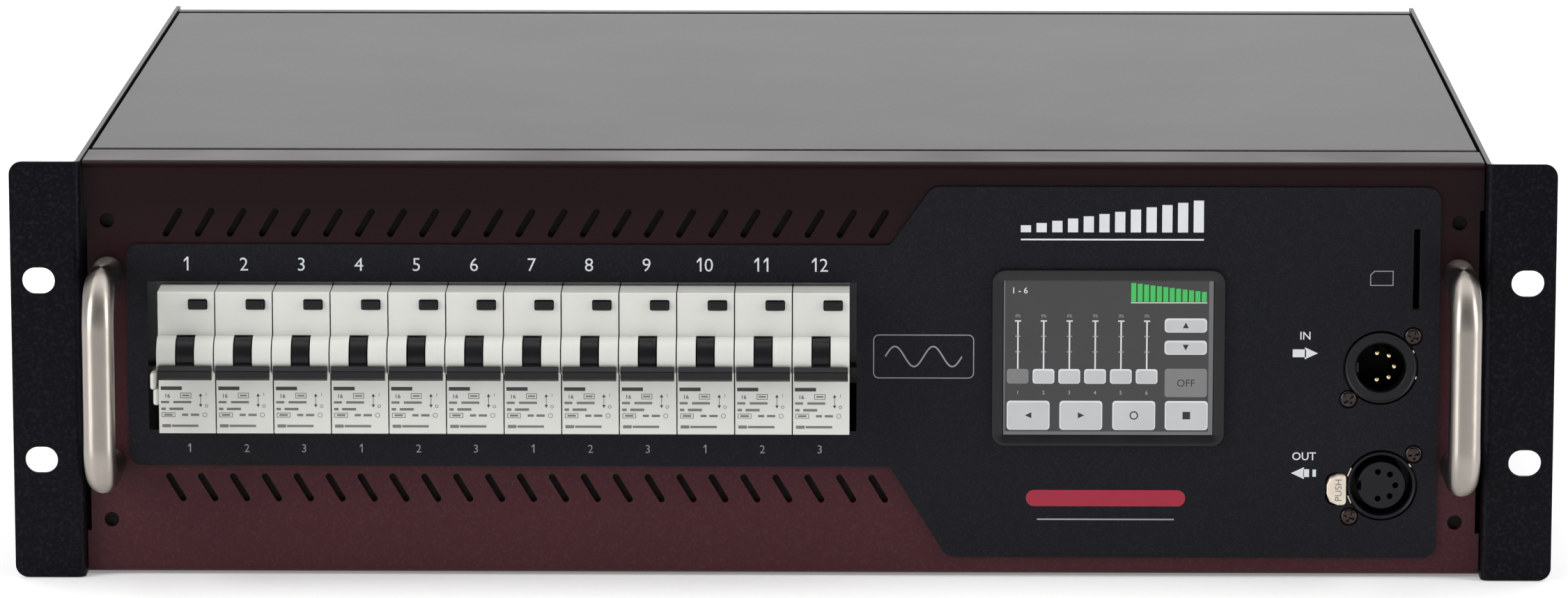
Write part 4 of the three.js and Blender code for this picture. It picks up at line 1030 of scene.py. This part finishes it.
@dataclass
class OverlayPrint:
    """White and grey marks on the overlay: plain figures, arrows, frames and bars."""

    face: float = 3.9 - PRINT_LIFT
    first_x: float = -185.8
    advance: float = 0.66
    one: Sizes = (0.02, 0.145, -0.19)
    wave_length: float = 24
    wave_rise: float = 3.2
    wave_half: float = 0.24

    def build(self) -> None:
        """Print everything."""
        middles = [self.first_x + i * CHANNEL_PITCH for i in range(CHANNELS)]
        numbers = [self._number(i + 1, x - 0.7, 99.7, 4.4) for i, x in enumerate(middles)]
        merged(*numbers).fit("channel_numbers", WHITE_INK)
        numbers = [self._number(i % 3 + 1, x - 0.5, 40.9, 2.7) for i, x in enumerate(middles)]
        merged(*numbers).fit("phase_numbers", GREY_INK)
        merged(
            self._bar(161.8, 71.9, 4.2, 2.5),
            self._shape((163.5, 70.0), (167.6, 71.9), (163.5, 73.8)),
            Piece.text("IN", (163.6, self.face, 77.6), 2.6),
        ).fit("inlet_marks", WHITE_INK)
        merged(
            self._shape((159.6, 33.6), (163.7, 31.7), (163.7, 35.5)),
            self._bar(164.4, 33.6, 1.8, 2.5), self._bar(166.9, 33.6, 1.1, 2.3),
            Piece.text("OUT", (163.6, self.face, 39.1), 2.6),
        ).fit("outlet_marks", WHITE_INK)
        card = [(183.6, 93.4), (190.9, 93.4), (190.9, 98.2), (184.9, 98.2), (183.6, 96.9)]
        self._shape(*card, line=0.3).fit("card_mark", GREY_INK)
        badge = merged(self._bar(44.2, 70.6, 31.6, 14, 1.8, 0.3), self._wave(44.2, 70.6))
        badge.fit("wave_badge", GREY_INK)
        bars = [self._bar(76.0 + i * 4.9, 111.3 + i * 0.36, 3.2, 2.2 + i * 0.72) for i in range(CHANNELS)]
        merged(*bars, self._bar(103, 107.9, 57.1, 0.5)).fit("title_bars", WHITE_INK)
        self._bar(101.5, 25.4, 50, 5.2, 2.5).fit("accent_bar", CRIMSON_INK)
        self._bar(101.5, 18.6, 43, 0.5).fit("accent_line", GREY_INK)

    def _number(self, number: int, x: float, z: float, height: float) -> Piece:
        """Print a number, its ones with a flag."""
        figures, half = str(number), height / 2
        pieces = []
        for i, figure in enumerate(figures):
            middle = x + (i - (len(figures) - 1) / 2) * height * self.advance
            if figure != "1":
                pieces.append(Piece.text(figure, (middle, self.face, z), height, -0.005))
                continue
            left, right, flag = (middle + height * share for share in self.one)
            corners = [(left, z - half), (right, z - half), (right, z + half), (left + 0.01, z + half)]
            corners += [(flag, z + half * 0.52), (flag, z + half * 0.22), (left, z + half * 0.6)]
            pieces.append(self._shape(*corners))
        return merged(*pieces)

    def _bar(
        self, x: float, z: float, width: float, height: float, radius: float = 0, line: float = 0
    ) -> Piece:
        """Print a box by its middle and size."""
        return Piece.printed(rect(x, z, width, height, radius), self.face, line)

    def _shape(self, *corners: Point, line: float = 0) -> Piece:
        """Print a polygon."""
        return Piece.printed([(x, z, 0) for x, z in corners], self.face, line)

    def _wave(self, x: float, z: float) -> Piece:
        """Print two periods of a sine as a thin line of even width."""
        deselect()
        bpy.ops.mesh.primitive_grid_add(x_subdivisions=72, y_subdivisions=1, size=1, rotation=Axis.Y.value[1])
        wave = Piece.taken()
        for corner in wave.shape.data.vertices:
            turn = 2 * math.tau * (corner.co.x + 0.5)
            side = math.copysign(self.wave_half, corner.co.z)
            slope = math.atan(math.cos(turn) * self.wave_rise * 2 * math.tau / self.wave_length)
            across = corner.co.x * self.wave_length - side * math.sin(slope)
            rise = math.sin(turn) * self.wave_rise + side * math.cos(slope)
            corner.co = spot((x + across, self.face, z + rise))
        return wave.facing_front()


# Touch screen


@dataclass
class TouchScreen:
    """Frame that slopes down to the glass, screen module and the picture that it shows."""

    slope: float = 0.45
    margin: float = 0.3
    lip: float = 1.1
    neck_wall: float = 1.4
    corner: float = 4
    faders: int = 6
    fader_start: float = 0.0675
    fader_pitch: float = 0.1232
    ramp_start: float = 0.607
    ramp_pitch: float = 0.0306
    ramp_width: float = 0.0232
    ramp_fall: float = 0.0052

    def __post_init__(self) -> None:
        """Read the glass's place."""
        self.low, self.high = limits("touch_screen")
        self.size = self.high - self.low

    def build(self) -> None:
        """Make the frame, module and picture."""
        self._frame()
        module = Piece.block(*zip(self.low, self.high, strict=True))
        module.soften(0.2).smooth(35).fit("screen_module", SCREEN_GREY, "touch_screen")
        self._picture()

    def _frame(self) -> None:
        """Rounded frame with a neck behind it, cut open for the module."""
        low, high = limits("screen_bezel")
        (x, _, z), size, lip_back = (low + high) / 2, high - low, low.y + self.lip
        outline = rect(x, z, size.x, size.z, self.corner)
        piece = Piece.raised(Axis.Y, outline, low.y, lip_back, 10)
        piece.pick(lambda _, normal: normal.y < -0.99)
        piece.inset(0.2).inset(0.8).inset(2.2, -self.slope).rest()
        neck, hole = (
            rect(x, z, self.size.x + 2 * more, self.size.z + 2 * more, radius)
            for more, radius in ((self.margin + self.neck_wall, 1.4), (self.margin, 0.6))
        )
        piece.unite(Piece.raised(Axis.Y, neck, lip_back - 0.3, high.y, 4))
        piece.cut(Piece.raised(Axis.Y, hole, low.y - 1, high.y + 1, 3))
        piece.soften(0.18, 2, 60).smooth(30).fit("screen_frame", BEZEL_PLASTIC, "screen_bezel")

    def _level(self, layer: int) -> float:
        """Level of a layer of the picture in front of the glass."""
        return self.low.y - PRINT_LIFT * layer

    def _at(self, across: float, down: float) -> Sizes:
        """Place by shares of the glass from its upper left, on the picture's second layer."""
        return self.low.x + across * self.size.x, self._level(2), self.high.z - down * self.size.z

    def _key(
        self, left: float, right: float, top: float, bottom: float, radius: float = 0, layer: int = 1
    ) -> Piece:
        """Print one key of the picture by shares of the glass from its upper left."""
        x, _, z = self._at((left + right) / 2, (top + bottom) / 2)
        size = ((right - left) * self.size.x, (bottom - top) * self.size.z)
        return Piece.printed(rect(x, z, *size, radius), self._level(layer))

    def _sign(self, across: float, down: float, *corners: Point) -> Piece:
        """Print a polygon on a key, its corners given from the key's middle."""
        x, _, z = self._at(across, down)
        return Piece.printed([(x + a, z + b, 0) for a, b in corners], self._level(4))

    def _picture(self) -> None:
        """Six faders, a ramp of twelve bars and eight keys."""
        faders = [self.fader_start + i * self.fader_pitch for i in range(self.faders)]
        keys = [(x - 0.052, x + 0.052, 0.571, 0.667, 0.9) for x in faders]
        keys += [(left, left + 0.205, 0.778, 0.968, 1.1) for left in (0.016, 0.268, 0.521, 0.772)]
        keys += [(0.768, 0.97, top, top + 0.092, 1.1) for top in (0.241, 0.385)]
        light = [self._key(*key, 2) for key in keys[1:]]
        light += [self._key(x - 0.0036, x + 0.0036, 0.255, 0.571) for x in faders]
        light += [self._key(x - 0.015, x + 0.015, 0.255, 0.264, 0, 2) for x in faders]
        light.append(self._key(0.606, 0.97, 0.137, 0.143))
        light.append(Piece.text("1 - 6", self._at(0.075, 0.06), 2.0))
        merged(*light).fit("screen_lights", SCREEN_LIGHT)
        faces = [self._key(a + 0.006, b - 0.005, c + 0.012, d - 0.004, r, 3) for a, b, c, d, r in keys[1:]]
        merged(*faces).fit("screen_key_faces", SCREEN_FACE)
        dim = (self._key(*keys[0], 2), self._key(0.77, 0.972, 0.568, 0.753, 0.9))
        merged(*dim).fit("screen_dim_keys", SCREEN_DIM)
        figures = [Piece.text(str(i + 1), self._at(x, 0.724), 1.25) for i, x in enumerate(faders)]
        figures += [Piece.text("0%", self._at(x, 0.225), 1.0, 0) for x in faders]
        figures += [self._key(x - 0.013, x + 0.013, y, y + 0.006) for x in faders for y in (0.356, 0.457)]
        merged(*figures).fit("screen_figures", SCREEN_TEXT)
        lefts = [self.ramp_start + i * self.ramp_pitch for i in range(CHANNELS)]
        ramp = [
            self._key(x, x + self.ramp_width, 0.012 + i * self.ramp_fall, 0.134, 0, 2)
            for i, x in enumerate(lefts)
        ]
        merged(*ramp).fit("screen_ramp", SCREEN_GREEN)
        shares = ((0.606, 0.012), (0.967, 0.072), (0.967, 0.136), (0.606, 0.136))
        corners = [(x, z, 0) for x, _, z in (self._at(*share) for share in shares)]
        Piece.printed(corners, self._level(1)).fit("screen_ramp_shade", SCREEN_SHADE)
        up, side = ((-0.95, -0.9), (0.95, -0.9), (0, 0.9)), ((-1.1, -0.95), (0.9, 0), (-1.1, 0.95))
        x, _, z = self._at(0.624, 0.873)
        signs = [
            self._sign(0.869, 0.286, *up),
            self._sign(0.869, 0.43, *((-a, -b) for a, b in up)),
            self._sign(0.373, 0.873, *side),
            self._sign(0.117, 0.873, *((-a, -b) for a, b in side)),
            self._sign(0.875, 0.873, (-1.2, -1.2), (1.2, -1.2), (1.2, 1.2), (-1.2, 1.2)),
            Piece.printed(rect(x, z, 2.7, 2.7, 1.3), self._level(4), 0.4),
            Piece.text("OFF", self._at(0.871, 0.66), 2.4, 0),
        ]
        merged(*signs).fit("screen_key_signs", SCREEN_DARK)
        strips = [self._key(*ends) for ends in ((0.979, 1, 0, 1), (0, 0.979, 0.978, 1), (0, 0.006, 0, 0.978))]
        merged(*strips).fit("screen_edge_strips", SCREEN_EDGE)


# Control connectors


@dataclass
class ControlConnectors:
    """Five pole inlet above and outlet below, with screws, latch tab and contact blades."""

    front: float = 3.5
    back: float = 22.5
    rim_bead: float = 0.3
    rim_dips: Sizes = (-0.2, -0.3)
    inlet_radii: Sizes = (11.1, 8.0)
    outlet_radii: Sizes = (10.6, 9.7)
    cup_depth: float = 12
    contacts: int = 5
    contact_circle: float = 4.4
    contact_spread: float = 52.0
    pin_radius: float = 0.8
    pin_inset: float = 2.5
    plug_radius: float = 7.4
    socket_radius: float = 0.95
    half_key: float = 1.5
    key_depth: float = 1.1
    flange: Sizes = (26, 31, 2)
    flange_faces: Sizes = (7.3, 9.3)
    screw: Sizes = (2.65, 1.5)
    screw_seat: float = 4.95
    blade_ys: Sizes = (3.7, 6)
    blade_width: float = 0.34
    blade_corner: float = 0.15
    blades: tuple[tuple, ...] = (
        (OPENINGS.inlet, 11.45, 27, 0.9), (OPENINGS.inlet, 11.45, -16, 0.9),
        (OPENINGS.outlet, 10.95, 36, 1.1), (OPENINGS.outlet, 10.95, 157, 2.9),
        (OPENINGS.outlet, 10.95, 204, 2.6),
    )

    def build(self) -> None:
        """Make both connectors."""
        (x, z), half = OPENINGS.inlet, self.half_key
        edge = x - self.inlet_radii[1]
        key_ys = (self.front + 0.8, self.front + self.cup_depth)
        ridge = Piece.block((edge - 0.6, edge + self.key_depth), key_ys, (z - half, z + half))
        inlet = merged(self._shell(OPENINGS.inlet, self.inlet_radii), ridge)
        inlet.smooth(30).fit("inlet_shell", DARK_SHELL, "xlr_input_shell")
        outlet = self._shell(OPENINGS.outlet, self.outlet_radii)
        outlet.smooth(30).fit("outlet_shell", DARK_SHELL, "xlr_output_shell")
        self._inlet_insert()
        self._outlet_insert()
        self._latch()
        places = [(x, self.screw_seat, z) for x, z in OPENINGS.screw_places()]
        fit_screws("connector_screws", places, self.screw, (20, 31))
        self._blades()

    def _places(self, centre: Point) -> list[Sizes]:
        """Places of the five contacts round a connector's axis."""
        middle, ring = (self.contacts - 1) / 2, self.contact_circle
        angles = [math.radians((i - middle) * self.contact_spread) for i in range(self.contacts)]
        return [(centre[0] + ring * math.cos(a), centre[1] + ring * math.sin(a)) for a in angles]

    def _shell(self, centre: Point, radii: Point) -> Piece:
        """Round shell with a bead along its rim, a deep bore and its flange behind the panel."""
        (x, z), (radius, bore) = centre, radii
        middle, bead = (self.front + self.back) / 2, min(self.rim_bead, (radius - bore) / 4)
        first_dip, last_dip = self.rim_dips
        shell = Piece.drum((x, middle, z), radius, self.back - self.front, sides=96)
        shell.pick(lambda _, normal: normal.y < -0.9)
        shell.inset(bead).inset(bead, first_dip).inset(radius - bore - 3 * bead).inset(bead, last_dip)
        shell.extrude((0, self.cup_depth + 2, 0)).rest()
        flange = Piece.raised(Axis.Y, rect(x, z, *self.flange), *self.flange_faces, 4)
        flange.cut(Piece.drum((x, self.flange_faces[0], z), (radius + bore) / 2, 10))
        return merged(shell, flange)

    def _latch(self) -> None:
        """Latch tab with its word, which reads upwards."""
        tab = Piece.node_copy("xlr_latch_tab").soften(0.45, 4).smooth()
        tab.fit("latch_key", BRIGHT_NICKEL, "xlr_latch_tab", body="latch_tab")
        low, high = limits("xlr_latch_tab")
        middle = ((low.x + high.x) / 2 + 0.5, low.y - PRINT_LIFT, (low.z + high.z) / 2)
        word = Piece.text("PUSH", middle, 2.2, 0).turned(-90, "Y", middle)
        word.fit("latch_word", FADED_INK, body="latch_tab", slot=BRIGHT_NICKEL.slot)

    def _inlet_insert(self) -> None:
        """Disc at the bottom of the cup with five round nosed pins."""
        (x, z), front = OPENINGS.inlet, self.front + self.cup_depth
        radius = self.inlet_radii[1] - 0.02
        cup = Piece.drum((x, (front + self.front) / 2 + 1.3, z), radius, self.cup_depth + 1.4)
        cup.pick(lambda _, normal: normal.y < -0.9)
        cup.inset(0.3).extrude((0, self.cup_depth, 0)).rest()
        # The cup's near black colour is painted shade for the deep bore
        cup.smooth(30).fit("inlet_cup", CUP_PAINTED_SHADE)
        middle, length = (self.front + self.back) / 2 + self.pin_inset, self.back - self.front
        pins = [
            Piece.drum((px, middle, pz), self.pin_radius, length, sides=24).soften(0.55, 4, 60)
            for px, pz in self._places((x, z))
        ]
        merged(*pins).smooth(50).fit("inlet_pins", GOLD, "xlr_input_insert")

    def _outlet_insert(self) -> None:
        """Socket plug with five holes and a keyway at its left."""
        (x, z), radius, half = OPENINGS.outlet, self.plug_radius, self.half_key
        low, high = limits("xlr_output_insert")
        plug = Piece.drum((x, (low.y + high.y) / 2, z), radius, high.y - low.y, sides=96)
        xs, ys = (x - radius - 1, x - radius + self.key_depth), (low.y - 1, low.y + 7)
        plug.cut(Piece.block(xs, ys, (z - half, z + half)))
        for px, pz in self._places((x, z)):
            plug.cut(Piece.drum((px, low.y + 3, pz), self.socket_radius, 8, sides=32))
        plug.soften(0.25, 3, 40).smooth().fit("outlet_plug", INSULATOR, "xlr_output_insert")

    def _blades(self) -> None:
        """Bright ends of the sprung earth blades that show beside the shells."""
        pieces = []
        for (x, z), radius, degrees, length in self.blades:
            angle = math.radians(degrees)
            middle = (x + radius * math.cos(angle), z + radius * math.sin(angle))
            outline = lean(rect(*middle, self.blade_width, length, self.blade_corner), degrees)
            pieces.append(Piece.raised(Axis.Y, outline, *self.blade_ys, 4))
        merged(*pieces).smooth().fit("earth_blades", BRIGHT_NICKEL)


# Rear fittings


@dataclass
class RearFittings:
    """Cable gland, multipole connector and the screws of the rear panel."""

    face: float = 344.0
    fan: Sizes = (127.0, 66.25)
    fan_half: float = 35.75
    screw: Sizes = (3, 1.8)
    panel_xs: Sizes = (-212, 212)
    panel_zs: Sizes = (16, 116)
    flange_inset: float = 4.5
    flange: float = 4.3
    flange_thick: float = 4
    hood_size: Sizes = (116, 36)
    hood_wall: float = 2.5
    well_depth: float = 12
    peg: Sizes = (12, 4, 3.5)
    pole_columns: int = 12
    pole_pitch: float = 8
    pole_rise: float = 6
    pole_radius: float = 1.5
    pole_cut: float = 12

    def build(self) -> None:
        """Make the fittings and their screws."""
        gland = Piece.node_copy("mains_gland").soften(0.5)
        gland.smooth().fit("cable_gland", NYLON, "mains_gland")
        self._hood()
        reaches = (-self.fan_half, self.fan_half)
        places = [(self.fan[0] + a, self.face, self.fan[1] + b) for a in reaches for b in reaches]
        low, high = limits("output_connector")
        inset = self.flange_inset
        ends, levels = (low.x + inset, high.x - inset), (low.z + inset, high.z - inset)
        places += [(x, self.face + self.flange, z) for x in ends for z in levels]
        places += [(x, self.face, z) for x in self.panel_xs for z in self.panel_zs]
        fit_screws("rear_screws", places, self.screw, (0, 17), 180)

    def _hood(self) -> None:
        """Connector hood on its flange, a locking peg through it and pole holes in its well's floor."""
        low, high = limits("output_connector")
        (x, _, z), size, floor = (low + high) / 2, high - low, high.y - self.well_depth
        outline = rect(x, z, size.x, size.z, 4)
        hood = Piece.raised(Axis.Y, outline, low.y, low.y + self.flange_thick, 6)
        (width, height), (inset, radius, length) = self.hood_size, self.peg
        shell = Piece.raised(Axis.Y, rect(x, z, width, height, 4), low.y, high.y, 6)
        hood.unite(shell, Piece.drum((x, high.y - inset, z), radius, width + 2 * length, Axis.X, 32))
        inner = rect(x, z, width - 2 * self.hood_wall, height - 2 * self.hood_wall, 1.5)
        hood.cut(Piece.raised(Axis.Y, inner, floor, high.y + 1, 4))
        middles = [
            (x + (i - (self.pole_columns - 1) / 2) * self.pole_pitch, floor, z + rise)
            for i in range(self.pole_columns) for rise in (-self.pole_rise, self.pole_rise)
        ]
        poles = [Piece.drum(place, self.pole_radius, self.pole_cut, sides=16) for place in middles]
        hood.cut(merged(*poles)).soften(0.3).smooth().fit("output_socket", DIE_CAST, "output_connector")


# Studio


@dataclass
class Studio:
    """Pale floor, soft lights and the camera of the photograph, in metres of the frame."""

    eye: Sizes = (0.0280, -2.46195, 0.5062)
    look: Sizes = (-0.0118, 0.9838, -0.1789)
    lens: float = 171.22
    sensor: float = 36.0
    floor_size: float = 14.0
    floor_level: float = -0.0002
    room_depth: Sizes = (-0.8, 0.1)
    room_light: Sizes = (0.12, 0.7)
    aim: Sizes = (0, 0, 0.06)
    panels: tuple[tuple, ...] = (
        ("left_softbox", (-2.1, -1.3, 0.9), (1.1, 1.7), 40),
        ("right_softbox", (2.3, -0.8, 0.9), (0.9, 1.7), 32),
        ("top_softbox", (0.0, 0.3, 2.4), (3.6, 2.2), 34),
        ("backdrop_light", (0.55, 3.0, 0.9), (4.0, 1.6), 27),
    )

    def build(self) -> None:
        """Set up the floor, lights and camera."""
        deselect()
        bpy.ops.mesh.primitive_plane_add(size=self.floor_size, location=(0, 0, self.floor_level))
        floor = Piece.taken()
        floor.coat("studio_floor", STUDIO_PAPER)
        self._camera()
        self._world()
        for panel in self.panels:
            self._softbox(*panel)

    def _stand(self, name: str, data: bpy.types.ID, place: Point, way: Vector) -> bpy.types.Object:
        """Stand a camera or light at a place and point it along a way."""
        holder = bpy.data.objects.new(name, data)
        bpy.context.collection.objects.link(holder)
        holder.location = place
        holder.rotation_euler = way.to_track_quat("-Z", "Y").to_euler()
        return holder

    def _camera(self) -> None:
        """Place the camera and make it the scene's."""
        camera = bpy.data.cameras.new("photo_camera")
        camera.lens = self.lens
        camera.sensor_width = self.sensor
        camera.sensor_fit = "HORIZONTAL"
        bpy.context.scene.camera = self._stand("photo_camera", camera, self.eye, Vector(self.look))

    def _world(self) -> None:
        """Room that is pale behind the pack and darker in front of it, which metal mirrors."""
        world = bpy.data.worlds.new("studio")
        world.use_nodes = True
        tree = world.node_tree
        way = add_node(tree, "TexCoord").outputs["Generated"]
        depth = add_node(tree, "SeparateXYZ", links={"Vector": way}).outputs["Y"]
        strength = ranged(tree, depth, *self.room_depth, *self.room_light)
        tree.links.new(strength, tree.nodes["Background"].inputs["Strength"])
        tree.nodes["Background"].inputs["Color"].default_value = linear("#ffffff")
        bpy.context.scene.world = world
        bpy.context.scene.view_settings.view_transform = "Standard"

    def _softbox(self, name: str, place: Point, size: Point, power: float) -> None:
        """Add a soft panel light aimed at the pack's middle."""
        light = bpy.data.lights.new(name, "AREA")
        light.shape = "RECTANGLE"
        light.size, light.size_y = size
        light.energy = power
        self._stand(name, light, place, Vector(self.aim) - Vector(place))


def main() -> None:
    """Build every sub-assembly in order."""
    logging.basicConfig(level=logging.INFO, format="%(message)s")
    Studio().build()
    SheetMetal().build()
    Inside().build()
    Handle("left").build()
    Handle("right").build()
    row = BreakerRow()
    row.build()
    OverlayPrint().build()
    TouchScreen().build()
    ControlConnectors().build()
    RearFittings().build()
    row.clip()


if __name__ == "__main__":
    main()
